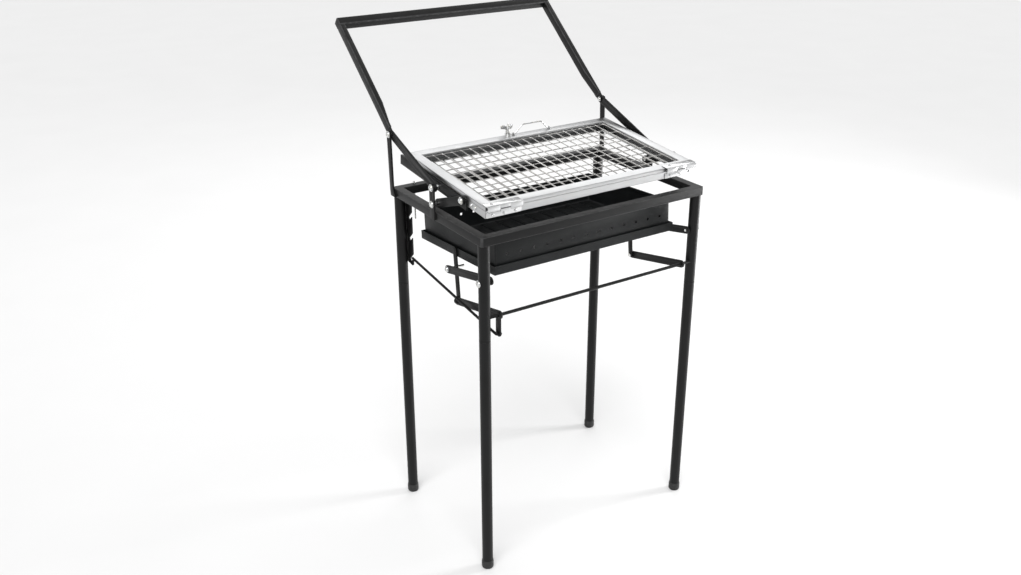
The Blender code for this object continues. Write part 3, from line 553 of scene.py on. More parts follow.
def lay_grain(bm, front=None, rear=None, half=None):
    """Grain map: brush lines run along the longer way of each face's strip."""
    grain = bm.loops.layers.uv["grain"]
    for face in bm.faces:
        middle = face.calc_center_median()
        along_x = True
        if half is not None:
            to_side = half - abs(middle.x)
            to_end = min(middle.y - front, rear - middle.y)
            along_x = to_end < to_side
        for loop in face.loops:
            x, y, z = loop.vert.co
            loop[grain].uv = (x, y + z) if along_x else (y, x + z)


# ---- hardware
def head_profile(radius, height, recess):
    """Washer and domed head with a round drive recess, from the outer rim to the axis."""
    low = WASHER_HEIGHT
    return [(0.0, 0.0), (radius * 1.22, 0.0), (radius * 1.22, low * 0.8), (radius * 1.19, low),
            (radius, low), (radius, low + height * 0.30), (radius * 0.93, low + height * 0.58),
            (radius * 0.78, low + height * 0.82), (radius * 0.58, low + height * 0.97),
            (recess * 1.12, low + height), (recess, low + height * 0.92), (recess, low + height * 0.45),
            (0.0, low + height * 0.35)]


def add_bolt(bm, x, y, z, side, reach, radius=BOLT_RADIUS, head=HEAD_RADIUS, nut_at=None):
    """Bolt along X: head outside the face at x, shank back to reach, and a nut if asked."""
    axis = "X" if side > 0 else "-X"
    add_turned(bm, head_profile(head, HEAD_HEIGHT, head * 0.36), (x, y, z), axis, 28)
    add_rod(bm, (x - side * 0.0001, y, z), (reach, y, z), radius, 20)
    if nut_at is not None:
        near, far = nut_at
        thick = abs(far - near)
        add_turned(bm, [(0.0, 0.0), (head * 0.86, 0.0), (head * 0.98, 0.0006), (head * 0.98, thick - 0.0006),
                        (head * 0.86, thick), (0.0, thick)], (min(near, far), y, z), "X", 6)


def build_hardware():
    pivot = PIVOTS["handle_lift"]
    pin = PIVOTS["basket_flip"]
    foot = PIVOTS["guide_link_left_turn"]
    leg = PIVOTS["tray_arm_left_turn"]
    for label, side in SIDES:
        face = side * POST_OUTER
        bm = start_mesh()
        add_bolt(bm, face + side * 0.0001, pivot.y, pivot.z, side, side * 0.2890,
                 nut_at=(side * 0.2942, side * 0.2905))
        piece("pivot_bolt_" + label + "_detail", bm, "zinc", "stand", ("pivot_bolt_" + label,))
        bm = start_mesh()
        add_bolt(bm, face + side * 0.0001, foot.y, foot.z, side, side * 0.2860)
        piece("guide_bolt_" + label, bm, "zinc", "stand")
        bm = start_mesh()
        add_bolt(bm, face + side * 0.0003, pin.y, pin.z, side, side * (SIDE_BAR_INNER + 0.0012))
        add_rod(bm, (side * (SIDE_BAR_OUTER + 0.0003), pin.y, pin.z),
                (side * (LEVER_INNER - 0.0003), pin.y, pin.z), 0.0055, 24)
        piece("basket_bolt_" + label + "_detail", bm, "zinc", "handle", ("basket_bolt_" + label,))
        bm = start_mesh()
        add_bolt(bm, side * 0.3001, leg.y, leg.z, side, side * 0.2650, 0.0030)
        piece("leg_bolt_" + label + "_detail", bm, "zinc", "stand", ("leg_bolt_" + label,))


# ---- stand
def build_top_frame():
    low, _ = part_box("frame_left_rail")
    _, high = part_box("frame_right_rail")
    front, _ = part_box("frame_front_rail")
    _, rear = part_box("frame_rear_rail")
    bm = start_mesh()
    add_box(bm, (low.x, front.y, low.z), (high.x, rear.y, high.z))
    flats = [face for face in bm.faces if abs(face.normal.z) > 0.9]
    bmesh.ops.inset_individual(bm, faces=flats, thickness=RAIL, use_even_offset=True)
    bmesh.ops.delete(bm, geom=flats, context="FACES")
    bmesh.ops.bridge_loops(bm, edges=[edge for edge in bm.edges if edge.is_boundary])
    corner = edges_along(bm, 2, lambda middle: abs(middle.x) > high.x - 0.001)
    round_edges(bm, 0.0042, 4, corner)
    round_edges(bm, 0.0014, 3, least=50.0)
    piece("top_frame", bm, "paint", "stand",
          ("frame_front_rail", "frame_rear_rail", "frame_left_rail", "frame_right_rail"))


def build_legs():
    edge = 0.0007
    for corner in CORNERS:
        low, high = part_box("leg_upper_" + corner)
        centre = (low + high) / 2
        place = (centre.x, centre.y, 0.0)
        bm = start_mesh()
        add_turned(bm, [(LEG_BORE, low.z), (LEG_RADIUS - edge, low.z), (LEG_RADIUS, low.z + edge),
                        (LEG_RADIUS, high.z), (LEG_BORE, high.z), (LEG_BORE, low.z)], place, steps=48)
        piece("leg_tube_upper_" + corner, bm, "paint", "stand", ("leg_upper_" + corner,))
        seam = low.z - 0.0003
        low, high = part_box("leg_lower_" + corner)
        bm = start_mesh()
        add_turned(bm, [(LEG_BORE, low.z), (LEG_RADIUS, low.z), (LEG_RADIUS, seam - edge),
                        (LEG_RADIUS - edge, seam), (LEG_PLUG, seam), (LEG_PLUG, high.z),
                        (LEG_PLUG - LEG_WALL, high.z), (LEG_PLUG - LEG_WALL, seam - 0.004),
                        (LEG_BORE, seam - 0.010), (LEG_BORE, low.z)], place, steps=48)
        piece("leg_tube_lower_" + corner, bm, "paint", "stand", ("leg_lower_" + corner,))
        low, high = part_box("foot_" + corner)
        bm = start_mesh()
        add_turned(bm, [(0.0, 0.0), (FOOT_RADIUS - 0.0040, 0.0), (FOOT_RADIUS - 0.0022, 0.0006),
                        (FOOT_RADIUS - 0.0008, 0.0022), (FOOT_RADIUS, 0.0050),
                        (FOOT_RADIUS, high.z - 0.0050),
                        (FOOT_RADIUS - 0.0005, high.z - 0.0044), (FOOT_RADIUS - 0.0005, high.z - 0.0012),
                        (FOOT_RADIUS - 0.0010, high.z), (LEG_RADIUS + 0.0002, high.z),
                        (LEG_RADIUS + 0.0002, 0.0041), (0.0, 0.0041)], place, steps=48)
        piece("foot_cap_" + corner, bm, "foot", "stand", ("foot_" + corner,))


def build_uprights():
    for label, side in SIDES:
        band = sorted((side * POST_INNER, side * POST_OUTER))
        soften("post_bar_" + label, "post_" + label, "bar", "stand")
        bm = cad_copy("flip_bracket_" + label, band)
        widen(bm, PIVOTS["basket_flip"].y, BRACKET_WIDENING)
        round_edges(bm, 0.0006, 2)
        piece("flip_bracket_bar_" + label, bm, "bar", "stand", ("flip_bracket_" + label,))
    soften("notch_rack_plate", "notch_rack", "bar", "stand", 0.0005)
    low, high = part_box("rail_pin")
    centre = (low + high) / 2
    top = high.z
    bm = start_mesh()
    add_turned(bm, [(0.0, low.z), (0.0014, low.z), (0.0021, low.z + 0.0012), (0.0021, top - 0.0066),
                    (0.0036, top - 0.0066), (0.0036, top - 0.0020), (0.0030, top - 0.0006),
                    (0.0016, top), (0.0, top)], (centre.x, centre.y, 0.0), steps=24)
    piece("rail_pin_detail", bm, "zinc", "stand", ("rail_pin",))


def build_weld_beads():
    """Beads where the posts and brackets meet the rails."""
    rail_low, rail_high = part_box("frame_left_rail")
    top, bottom = rail_high.z - 0.0010, rail_low.z + 0.003
    for label, side in SIDES:
        x = side * (POST_INNER + 0.0001)
        for stem in ("post_", "flip_bracket_"):
            low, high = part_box(stem + label)
            if stem == "post_":
                near, far = low.y + 0.002, low.y + 0.019
            else:
                near, far = low.y - 0.0018, high.y + 0.0018
            bm = start_mesh()
            for y in (near - WELD_SIZE, far + WELD_SIZE):
                add_bead(bm, (x, y, top), (x, y, bottom), WELD_SIZE)
            piece(stem + "weld_" + label, bm, "bar", "stand")


# ---- handle and links
def add_handle_arm(bm, side):
    """Arm tube in the handle's own frame, pressed thin over the lever at its lower end."""
    inner, outer = ARM_BAND
    low, high = sorted((side * inner, side * outer))
    add_box(bm, (low, 0.0120, -0.0102), (high, 0.3160, 0.0102))
    geom = list(bm.verts) + list(bm.edges) + list(bm.faces)
    for level in (0.0240, 0.0820):
        cut = bmesh.ops.bisect_plane(bm, geom=geom, dist=1e-6, plane_co=(0, level, 0), plane_no=(0, 1, 0))
        geom = list(set(cut["geom"]) | set(bm.verts) | set(bm.edges) | set(bm.faces))
    for vert in bm.verts:
        if vert.co.y < 0.0500:
            on_inner = abs(vert.co.x) < (inner + outer) / 2
            vert.co.x = side * PRESSED_BAND[0 if on_inner else 1]
    round_edges(bm, 0.0022, 3, least=50.0)


def build_handle():
    bm = start_mesh()
    half = PRESSED_BAND[1]
    add_box(bm, (-half, 0.3150, -0.0106), (half, 0.3362, 0.0106))
    round_edges(bm, 0.0030, 4, least=50.0)
    piece("handle_crossbar_tube", bm, "paint", "handle", ("handle_crossbar",), HANDLE)
    for label, side in SIDES:
        bm = start_mesh()
        add_handle_arm(bm, side)
        piece("handle_tube_" + label, bm, "paint", "handle", ("handle_arm_" + label,), HANDLE)
        soften("lever_bar_" + label, "lever_" + label, "bar", "handle")
        band = sorted((side * LINK_BAND[0], side * LINK_BAND[1]))
        soften("guide_link_bar_" + label, "guide_link_" + label, "bar", "guide_link_" + label, keep_x=band)
        bm = start_mesh()
        tip = PIVOTS["guide_link_left_turn"] + LINK_REACH
        add_bolt(bm, side * LINK_BAND[1], tip.y, tip.z, side, side * 0.2865)
        piece("link_bolt_" + label, bm, "zinc", "guide_link_" + label)


# ---- basket
def folded_frame(half, front, rear, flange, face_level, wall, lip, bend, sheet):
    """Rectangular frame of folded sheet: flat flange, outer wall and a short inner lip."""
    bm = start_mesh()
    add_ring(bm, half, front, rear, face_level, flange)
    outer_edges, inner_edges = [], []
    for edge in bm.edges:
        if edge.is_boundary:
            middle = (edge.verts[0].co + edge.verts[1].co) / 2
            on_rim = abs(middle.x) > half - 1e-5 or not front + 1e-5 < middle.y < rear - 1e-5
            (outer_edges if on_rim else inner_edges).append(edge)
    for edges, drop in ((outer_edges, wall), (inner_edges, lip)):
        made = bmesh.ops.extrude_edge_only(bm, edges=edges)["geom"]
        moved = [item for item in made if isinstance(item, bmesh.types.BMVert)]
        bmesh.ops.translate(bm, verts=moved, vec=(0.0, 0.0, drop))
    bends = [edge for edge in outer_edges + inner_edges if edge.is_valid]
    round_edges(bm, bend, 3, bends, mark=0.5)
    bmesh.ops.recalc_face_normals(bm, faces=bm.faces)
    bmesh.ops.solidify(bm, geom=list(bm.faces), thickness=sheet)
    return bm


def build_basket_frames():
    bm = folded_frame(BASKET_HALF, BASKET_FRONT, BASKET_REAR, FLANGE, UPPER_TOP, UPPER_BOTTOM - UPPER_TOP,
                      -LIP, 0.0014, SHEET)
    strips = ((-0.010, -0.0032, 0.0092), (0.0032, 0.010, 0.0092), (-0.0034, 0.0034, 0.0055))
    for left, right, reach in strips:
        add_box(bm, (CLASP_X + left, BASKET_REAR - 0.0040, UPPER_TOP - 0.0014),
                (CLASP_X + right, BASKET_REAR + reach, UPPER_TOP - 0.0001))
    lay_grain(bm, BASKET_FRONT, BASKET_REAR, BASKET_HALF)
    piece("upper_frame_sheet", bm, "steel", "lid", ("basket_upper_frame",), BASKET)
    bm = folded_frame(BASKET_HALF, BASKET_FRONT, BASKET_REAR, FLANGE, LOWER_BOTTOM,
                      LOWER_TOP - LOWER_BOTTOM, LIP, 0.0014, SHEET)
    lay_grain(bm, BASKET_FRONT, BASKET_REAR, BASKET_HALF)
    piece("lower_frame_sheet", bm, "steel", "basket", ("basket_lower_frame",), BASKET)


def build_grid(name, level, radius, body, node):
    """Wires front to back at the level, resting on cross wires."""
    bm = start_mesh()
    margin = FLANGE - 0.008
    half = BASKET_HALF - margin
    near, far = BASKET_FRONT + margin, BASKET_REAR - margin
    count = round(2 * (half - 0.010) / GRID_PITCH)
    for step in range(count + 1):
        x = -half + 0.010 + 2 * (half - 0.010) * step / count
        add_rod(bm, (x, near, level), (x, far, level), radius, 10)
    count = round((far - near - 0.020) / GRID_CROSS_PITCH)
    under = level - (radius + radius - 0.0004)
    for step in range(count + 1):
        y = near + 0.010 + (far - near - 0.020) * step / count
        add_rod(bm, (-half, y, under), (half, y, under), radius, 10)
    piece(name, bm, "wire", body, (node,), BASKET)


def build_basket_sides():
    for label, side in SIDES:
        soften("side_bar_flat_" + label, "side_bar_" + label, "bar", "basket")
        bm = start_mesh()
        x = side * (BASKET_HALF + 0.0002)
        for along in (-0.126, -0.141):
            add_turned(bm, head_profile(0.0034, 0.0020, 0.0012), (x, along, 0.0050),
                       "X" if side > 0 else "-X", 20)
        piece("side_screws_" + label, bm, "zinc", "basket", (), BASKET)


def add_leaf(bm, low, high, corner):
    """Thin plate with rounded corners."""
    leaf = start_mesh()
    add_box(leaf, low, high)
    size = Vector(high) - Vector(low)
    thin = 1 if size.y < size.z else 2
    round_edges(leaf, corner, 4, edges_along(leaf, thin))
    round_edges(leaf, 0.0003, 2, least=60.0)
    merge_into(bm, leaf)


def add_lug(bm, low, high, corner):
    """Thin plate square to X with a rounded rear end."""
    lug = start_mesh()
    add_box(lug, low, high)
    middle = (low[1] + high[1]) / 2
    round_edges(lug, corner, 5, edges_along(lug, 0, lambda where: where.y > middle))
    round_edges(lug, 0.0002, 2, least=60.0)
    merge_into(bm, lug)


def build_lower_leaf(label, centre):
    """Leaf on the basket's front wall, with the middle knuckle and the pin."""
    axis_y, axis_z = HINGE_AXIS
    face = BASKET_FRONT - 0.0003
    left, right = centre - KNUCKLE_HALF, centre + KNUCKLE_HALF
    reach = HINGE_HALF + 0.0006
    bm = start_mesh()
    add_leaf(bm, (centre - HINGE_HALF, face - 0.0014, LOWER_BOTTOM + 0.0008),
             (centre + HINGE_HALF, face, axis_z - 0.0036), 0.0026)
    add_box(bm, (left, axis_y, axis_z - 0.0046), (right, face - 0.0004, axis_z - 0.0010))
    add_rod(bm, (left, axis_y, axis_z), (right, axis_y, axis_z), HINGE_BARREL, 24)
    add_leaf(bm, (left, axis_y - 0.0036, axis_z - 0.0046), (right, axis_y - 0.0024, axis_z + 0.0022), 0.0003)
    add_rod(bm, (centre - reach, axis_y, axis_z), (centre + reach, axis_y, axis_z), HINGE_BARREL / 2, 16)
    for shift in (-0.028, 0.0, 0.028):
        add_turned(bm, head_profile(*RIVET), (centre + shift, face - 0.0013, 0.0026), "-Y", 20)
    lay_grain(bm)
    piece("hinge_front_" + label, bm, "hinge", "basket", ("hinge_lower_leaf_" + label,), BASKET)


def build_upper_leaf(label, centre):
    """Leaf on the lid's front flange, with a lip and the two outer knuckles."""
    axis_y, axis_z = HINGE_AXIS
    under = UPPER_TOP + 0.0003
    over = under + 0.0012
    bm = start_mesh()
    add_leaf(bm, (centre - HINGE_HALF, axis_y - 0.0010, under),
             (centre + HINGE_HALF, BASKET_FRONT + 0.014, under + 0.0014), 0.0024)
    add_leaf(bm, (centre - 0.0119, axis_y - 0.0028, axis_z + 0.0042),
             (centre + 0.0119, axis_y - 0.0014, over), 0.0003)
    for turn in (-1, 1):
        low, high = sorted((centre + turn * 0.0125, centre + turn * (HINGE_HALF - 0.0005)))
        add_rod(bm, (low, axis_y, axis_z), (high, axis_y, axis_z), HINGE_BARREL, 24)
        add_leaf(bm, (low, axis_y - 0.0028, axis_z), (high, axis_y - 0.0014, over), 0.0003)
        add_turned(bm, head_profile(*RIVET), (centre + turn * 0.026, BASKET_FRONT + 0.0062, over), "Z", 20)
    lay_grain(bm)
    piece("hinge_top_" + label, bm, "hinge", "lid", ("hinge_upper_leaf_" + label,), BASKET)


def build_hinges():
    for label, side in SIDES:
        build_lower_leaf(label, side * HINGE_CENTRE)
        build_upper_leaf(label, side * HINGE_CENTRE)


def build_clasp():
    axis_y, axis_z = CLASP_AXIS
    face = BASKET_REAR + 0.0003
    bm = start_mesh()
    add_leaf(bm, (CLASP_X - 0.0110, face, LOWER_BOTTOM + 0.0010),
             (CLASP_X + 0.0110, face + 0.0013, 0.0112), 0.0018)
    for side in (-1, 1):
        low, high = sorted((CLASP_X + side * 0.0088, CLASP_X + side * 0.0074))
        add_lug(bm, (low, face + 0.0004, axis_z - 0.0044), (high, axis_y + 0.0044, axis_z + 0.0044), 0.0040)
    add_rod(bm, (CLASP_X - 0.0104, axis_y, axis_z), (CLASP_X + 0.0104, axis_y, axis_z), 0.0016, 16)
    for side in (-1, 1):
        add_turned(bm, [(0.0, 0.0), (0.0027, 0.0), (0.0027, 0.0006), (0.0018, 0.0012), (0.0, 0.0014)],
                   (CLASP_X + side * 0.0090, axis_y, axis_z), "X" if side > 0 else "-X", 18)
    lay_grain(bm)
    piece("clasp_bracket_plate", bm, "hinge", "basket", ("clasp_bracket",), BASKET)
    build_stud()
    build_wing_nut()


def build_stud():
    """Swing bolt: an eye round the bracket's pin and a threaded shank."""
    axis_y, axis_z = CLASP_AXIS
    height = STUD_TOP - axis_z
    bm = start_mesh()
    add_turned(bm, [(0.0019, -0.0046), (0.0038, -0.0046), (0.0043, -0.0040), (0.0043, 0.0040),
                    (0.0038, 0.0046), (0.0019, 0.0046), (0.0019, -0.0046)], (0.0, 0.0, 0.0), "X", 28)
    profile = [(0.0, 0.0030), (0.0024, 0.0030), (0.0024, 0.0120)]
    level = 0.0125
    while level < height - 0.0016:
        profile += [(0.0020, level), (0.0024, level + 0.0004)]
        level += 0.0008
    profile += [(0.0020, height - 0.0010), (0.0012, height), (0.0, height)]
    add_turned(bm, profile, (0.0, 0.0, 0.0), "Z", 20)
    place = BASKET @ Matrix.Translation((CLASP_X, axis_y, axis_z))
    piece("swing_stud", bm, "zinc", "clasp_stud", ("clasp_stud",), place)


def add_wing(bm, side, steps):
    """Wing drawn out of a small block, one step of (length, growth, lift) after another."""
    wing = start_mesh()
    add_box(wing, (0.0020, -0.0017, 0.0080), (0.0050, 0.0017, 0.0170))
    for shift, size, lift in steps:
        tip = max(wing.faces, key=lambda face: face.calc_center_median().x)
        made = bmesh.ops.extrude_discrete_faces(wing, faces=[tip])["faces"]
        verts = list(made[0].verts)
        centre = made[0].calc_center_median()
        bmesh.ops.scale(wing, verts=verts, vec=(1.0, 1.0, size), space=Matrix.Translation(-centre))
        bmesh.ops.translate(wing, verts=verts, vec=(shift, 0.0, lift))
    bmesh.ops.remove_doubles(wing, verts=wing.verts, dist=1e-6)
    round_edges(wing, 0.0008, 3, least=40.0)
    if side < 0:
        bmesh.ops.scale(wing, verts=wing.verts, vec=(-1.0, 1.0, 1.0))
        bmesh.ops.reverse_faces(wing, faces=wing.faces)
    merge_into(bm, wing)


def build_wing_nut():
    """Nut with a long and a short wing on a round neck."""
    axis_y, axis_z = CLASP_AXIS
    seat = UPPER_TOP - axis_z + 0.0003
    bm = start_mesh()
    add_turned(bm, [(0.0026, 0.0), (0.0058, 0.0), (0.0062, 0.0006), (0.0060, 0.0030), (0.0050, 0.0062),
                    (0.0046, 0.0110), (0.0042, 0.0128), (0.0034, 0.0134), (0.0026, 0.0130), (0.0026, 0.0)],
               (0.0, 0.0, 0.0), "Z", 28)
    add_wing(bm, -1, ((0.0060, 1.05, 0.0030), (0.0060, 0.95, 0.0010), (0.0040, 0.70, -0.0008)))
    add_wing(bm, 1, ((0.0040, 1.20, 0.0030), (0.0030, 0.72, 0.0012)))
    place = BASKET @ Matrix.Translation((CLASP_X, axis_y, axis_z + seat))
    piece("wing_nut_cast", bm, "zinc", "wing_nut", ("wing_nut",), place)


def build_wire_handle():
    first, last = BAIL_SPAN
    y, z = BAIL_AXIS
    lean = 0.020
    bm = start_mesh()
    top = z + BAIL_HEIGHT
    add_bent_rod(bm, [(first - 0.007, y, z), (first, y, z), (first + lean, y, top), (last - lean, y, top),
                      (last, y, z), (last + 0.007, y, z)], WIRE, 0.004, 4)
    piece("wire_handle_bent", bm, "zinc", "wire_handle", ("wire_handle",), BASKET)
    for label, x in (("a", first - 0.0045), ("b", last + 0.0045)):
        bm = start_mesh()
        add_leaf(bm, (x - 0.0022, y - 0.0052, UPPER_TOP + 0.0001),
                 (x + 0.0022, y + 0.0052, UPPER_TOP + 0.0007), 0.0008)
        foot = UPPER_TOP + 0.0004
        add_bent_rod(bm, [(x, y - 0.0030, foot), (x, y - 0.0028, z + 0.0026), (x, y + 0.0028, z + 0.0026),
                          (x, y + 0.0030, foot)], 0.0008, 0.0022, 2)
        piece("wire_handle_clip_" + label, bm, "hinge", "lid", (), BASKET)


# ---- tray and lifting gear
def apply_boolean(bm, cutter):
    """Cut one mesh from another and return the result."""
    holders = []
    for mesh_from in (bm, cutter):
        mesh = bpy.data.meshes.new("cut")
        mesh_from.to_mesh(mesh)
        mesh_from.free()
        holder = bpy.data.objects.new("cut", mesh)
        bpy.context.scene.collection.objects.link(holder)
        holders.append(holder)
    body, tool = holders
    modifier = body.modifiers.new("cut", "BOOLEAN")
    modifier.operation = "DIFFERENCE"
    modifier.solver = "EXACT"
    modifier.object = tool
    evaluated = body.evaluated_get(bpy.context.evaluated_depsgraph_get())
    mesh = bpy.data.meshes.new_from_object(evaluated)
    result = bmesh.new()
    result.from_mesh(mesh)
    for holder in holders:
        bpy.data.objects.remove(holder)
    return result


def build_tray():
    bm = start_mesh()
    add_box(bm, (-TRAY_HALF, TRAY_FRONT, TRAY_FLOOR), (TRAY_HALF, TRAY_REAR, TRAY_TOP))
    top = [face for face in bm.faces if face.normal.z > 0.9]
    bmesh.ops.delete(bm, geom=top, context="FACES_ONLY")
    round_edges(bm, 0.0045, 3, [edge for edge in bm.edges if not edge.is_boundary])
    floor = [face for face in bm.faces if face.normal.z < -0.99 and face.calc_area() > 0.01]
    press_ribs(bm, floor)
    bmesh.ops.recalc_face_normals(bm, faces=bm.faces)
    outward = [face for face in bm.faces if face.calc_center_median().z < TRAY_FLOOR + 0.0001]
    if outward and outward[0].normal.z > 0:
        bmesh.ops.reverse_faces(bm, faces=bm.faces)
    bmesh.ops.solidify(bm, geom=list(bm.faces), thickness=0.0012)
    cutter = bmesh.new()
    holes, pitch, level, radius = 13, 0.0350, 0.0400, 0.0032
    for step in range(holes):
        x = (step - (holes - 1) / 2) * pitch
        add_rod(cutter, (x, TRAY_FRONT - 0.01, level), (x, TRAY_REAR + 0.01, level), radius, 12)
    bm = apply_boolean(bm, cutter)
    piece("charcoal_tray_sheet", bm, "tray", "tray", ("charcoal_tray",), TRAY)
    build_tray_hem()
    bm = folded_frame(CARRIER_HALF, 0.0, CARRIER_DEPTH, CARRIER_LEDGE, 0.0, CARRIER_HEIGHT, 0.0008,
                      0.0015, 0.0014)
    piece("tray_carrier_angle", bm, "tray", "tray", ("tray_carrier",), TRAY)


def press_ribs(bm, floor):
    """Shallow ribs pressed up into the tray's floor, running front to back."""
    ribs = 11
    pitch = 0.042
    width = 0.014
    geom = list({item for face in floor for item in (face, *face.edges, *face.verts)})
    levels = []
    for step in range(ribs):
        middle = (step - (ribs - 1) / 2) * pitch
        levels += [middle - width / 2, middle + width / 2]
    for level in levels:
        cut = bmesh.ops.bisect_plane(bm, geom=geom, dist=1e-6, plane_co=(level, 0, 0), plane_no=(1, 0, 0))
        geom = list({item for item in cut["geom"]} | {item for item in geom if item.is_valid})
    strips = []
    for face in bm.faces:
        middle = face.calc_center_median()
        nearest = round(middle.x / pitch) * pitch
        if face.normal.z < -0.99 and abs(middle.x - nearest) < 0.001 and abs(middle.x) < pitch * ribs / 2:
            strips.append(face)
    bmesh.ops.inset_individual(bm, faces=strips, thickness=0.0022, depth=0.0, use_even_offset=True)
    verts = list({vert for face in strips for vert in face.verts})
    bmesh.ops.translate(bm, verts=verts, vec=(0.0, 0.0, 0.0026))


def build_tray_hem():
    """Rolled hem round the top of the tray's walls."""
    bm = start_mesh()
    reach = 0.0014
    half = TRAY_HALF + reach - 0.0012
    front, rear = TRAY_FRONT - reach + 0.0012, TRAY_REAR + reach - 0.0012
    add_ring(bm, half, front, rear, TRAY_TOP + 0.0006, 0.0030)
    made = bmesh.ops.extrude_face_region(bm, geom=list(bm.faces), use_keep_orig=True)["geom"]
    moved = [item for item in made if isinstance(item, bmesh.types.BMVert)]
    bmesh.ops.translate(bm, verts=moved, vec=(0.0, 0.0, -0.0075))
    bmesh.ops.recalc_face_normals(bm, faces=bm.faces)
    round_edges(bm, 0.0011, 3, least=50.0)
    piece("tray_hem", bm, "tray", "tray", (), TRAY)


def build_lift_gear():
    shaft = PIVOTS["tray_lift"]
    bm = start_mesh()
    low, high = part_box("lift_shaft")
    edge = 0.0005
    length = high.x - low.x
    add_turned(bm, [(0.0, 0.0), (SHAFT_RADIUS - edge, 0.0), (SHAFT_RADIUS, edge),
                    (SHAFT_RADIUS, length - edge), (SHAFT_RADIUS - edge, length), (0.0, length)],
               (low.x, shaft.y, shaft.z), "X", 24)
    piece("lift_shaft_rod", bm, "paint", "lift", ("lift_shaft",))
    for label, side in SIDES:
        soften("lift_arm_bar_" + label, "lift_arm_" + label, "bar", "lift", 0.0005)
        soften("tray_arm_bar_" + label, "tray_arm_" + label, "bar", "tray_arm_" + label, 0.0005)
        band = sorted((side * HANGER_BAND[0], side * HANGER_BAND[1]))
        soften("hanger_bar_" + label, "hanger_" + label, "bar", "tray", 0.0005, keep_x=band)
        build_hanger_bolts(label, side)
    bm = cad_copy("lift_crank")
    widen(bm, shaft.y, CRANK_WIDENING)
    round_edges(bm, 0.0005, 2)
    piece("lift_crank_strip", bm, "bar", "lift", ("lift_crank",))


def build_hanger_bolts(label, side):
    lower = PIVOTS["tray_level"]
    upper = lower + PIVOTS["tray_arm_left_turn"] - PIVOTS["tray_lift"]
    nut = (side * 0.2462, side * 0.2430)
    for level, place, face, reach in (("lower", lower, 0.2550, 0.2440), ("upper", upper, 0.2722, 0.2290)):
        bm = start_mesh()
        add_bolt(bm, side * face, place.y, place.z, side, side * reach, 0.0030, 0.0058, nut_at=nut)
        finish = "bar" if (level, side) == ("lower", -1) else "zinc"
        piece("hanger_bolt_" + level + "_" + label, bm, finish, "tray")


def build_tie_rod():
    front = PIVOTS["tie_rod_pivot"]
    rear = Vector((-0.2680, front.y + 0.356, front.z + 0.052))
    along = (rear - Vector((-0.2620, front.y, front.z))).normalized()
    bm = start_mesh()
    add_bent_rod(bm, [(-0.2500, front.y + 0.005, front.z - 0.007), (-0.2505, front.y, front.z),
                      (-0.2620, front.y, front.z), rear, rear + along * 0.004], TIE_ROD_RADIUS, 0.003, 4)
    piece("tie_rod_bent", bm, "bar", "tie_rod", ("tie_rod",))


# ---- stage
def build_floor():
    floor_mesh = bpy.data.meshes.new("floor")
    bm = bmesh.new()
    bmesh.ops.create_grid(bm, x_segments=1, y_segments=1, size=80.0)
    bm.to_mesh(floor_mesh)
    bm.free()
    material, tree, shader = start_material("pale_floor")
    tone = noise(tree, coordinates(tree), 3.0, 2.0)
    tree.links.new(mix_colour(tree, tone, grey(0.80), grey(0.83)), shader.inputs["Base Color"])
    shader.inputs["Roughness"].default_value = 0.9
    floor_mesh.materials.append(material)
    floor = bpy.data.objects.new("floor", floor_mesh)
    bpy.context.scene.collection.objects.link(floor)


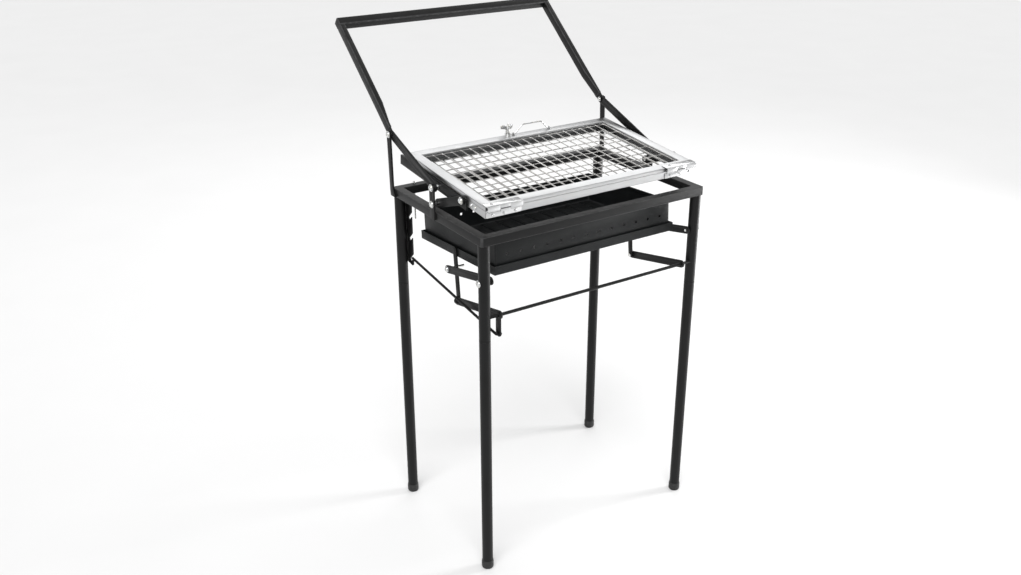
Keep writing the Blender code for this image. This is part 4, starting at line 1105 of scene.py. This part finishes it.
def build_world():
    world = bpy.data.worlds.new("studio")
    world.use_nodes = True
    background = world.node_tree.nodes["Background"]
    background.inputs["Color"].default_value = (1.0, 1.0, 1.0, 1.0)
    seen = world.node_tree.nodes.new("ShaderNodeLightPath").outputs["Is Camera Ray"]
    strength = remap(world.node_tree, seen, 0.0, 1.0, WORLD_LIGHT, WORLD_SEEN)
    plug(world.node_tree, background.inputs["Strength"], strength)
    bpy.context.scene.world = world
    bpy.context.scene.view_settings.view_transform = "Standard"


def place_light(name, light, place, forward):
    lamp = bpy.data.objects.new(name, light)
    lamp.location = place
    lamp.rotation_euler = Vector(forward).to_track_quat("-Z", "Y").to_euler()
    bpy.context.scene.collection.objects.link(lamp)


def add_area_light(name, place, aim, size, power):
    light = bpy.data.lights.new(name, "AREA")
    light.shape = "RECTANGLE"
    light.size, light.size_y = size
    light.energy = power
    place_light(name, light, place, Vector(aim) - Vector(place))


def build_lights():
    centre = (0.0, 0.0, 0.8)
    add_area_light("key_softbox", (1.5, 2.0, 2.6), centre, (2.4, 1.4), 19.0)
    add_area_light("right_strip", (2.7, -1.0, 0.62), (0.0, 0.0, 0.50), (0.7, 1.2), 75.0)
    sun = bpy.data.lights.new("even_daylight", "SUN")
    sun.energy = 2.2
    sun.angle = math.radians(50.0)
    place_light("even_daylight", sun, (0.0, 0.0, 0.0), (0.45, 0.50, -0.75))


def build_camera():
    camera = bpy.data.cameras.new("camera")
    camera.lens = 36.86
    camera.sensor_width = 36.0
    view = bpy.data.objects.new("camera", camera)
    azimuth, elevation, roll = math.radians(33.01), math.radians(24.08), math.radians(-0.10)
    forward = Vector((math.sin(azimuth) * math.cos(elevation), math.cos(azimuth) * math.cos(elevation),
                      -math.sin(elevation)))
    turn = forward.to_track_quat("-Z", "Y").to_matrix() @ Matrix.Rotation(roll, 3, "Z")
    view.matrix_world = Matrix.Translation((-1.3189, -2.0015, 1.6009)) @ turn.to_4x4()
    bpy.context.scene.collection.objects.link(view)
    bpy.context.scene.camera = view


def main():
    build_top_frame()
    build_legs()
    build_uprights()
    build_weld_beads()
    build_handle()
    build_hardware()
    build_basket_frames()
    build_grid("upper_wire_grid", *UPPER_GRID, "lid", "basket_upper_grid")
    build_grid("lower_wire_grid", *LOWER_GRID, "basket", "basket_lower_grid")
    build_basket_sides()
    build_hinges()
    build_clasp()
    build_wire_handle()
    build_tray()
    build_lift_gear()
    build_tie_rod()
    build_floor()
    build_world()
    build_lights()
    build_camera()


main()
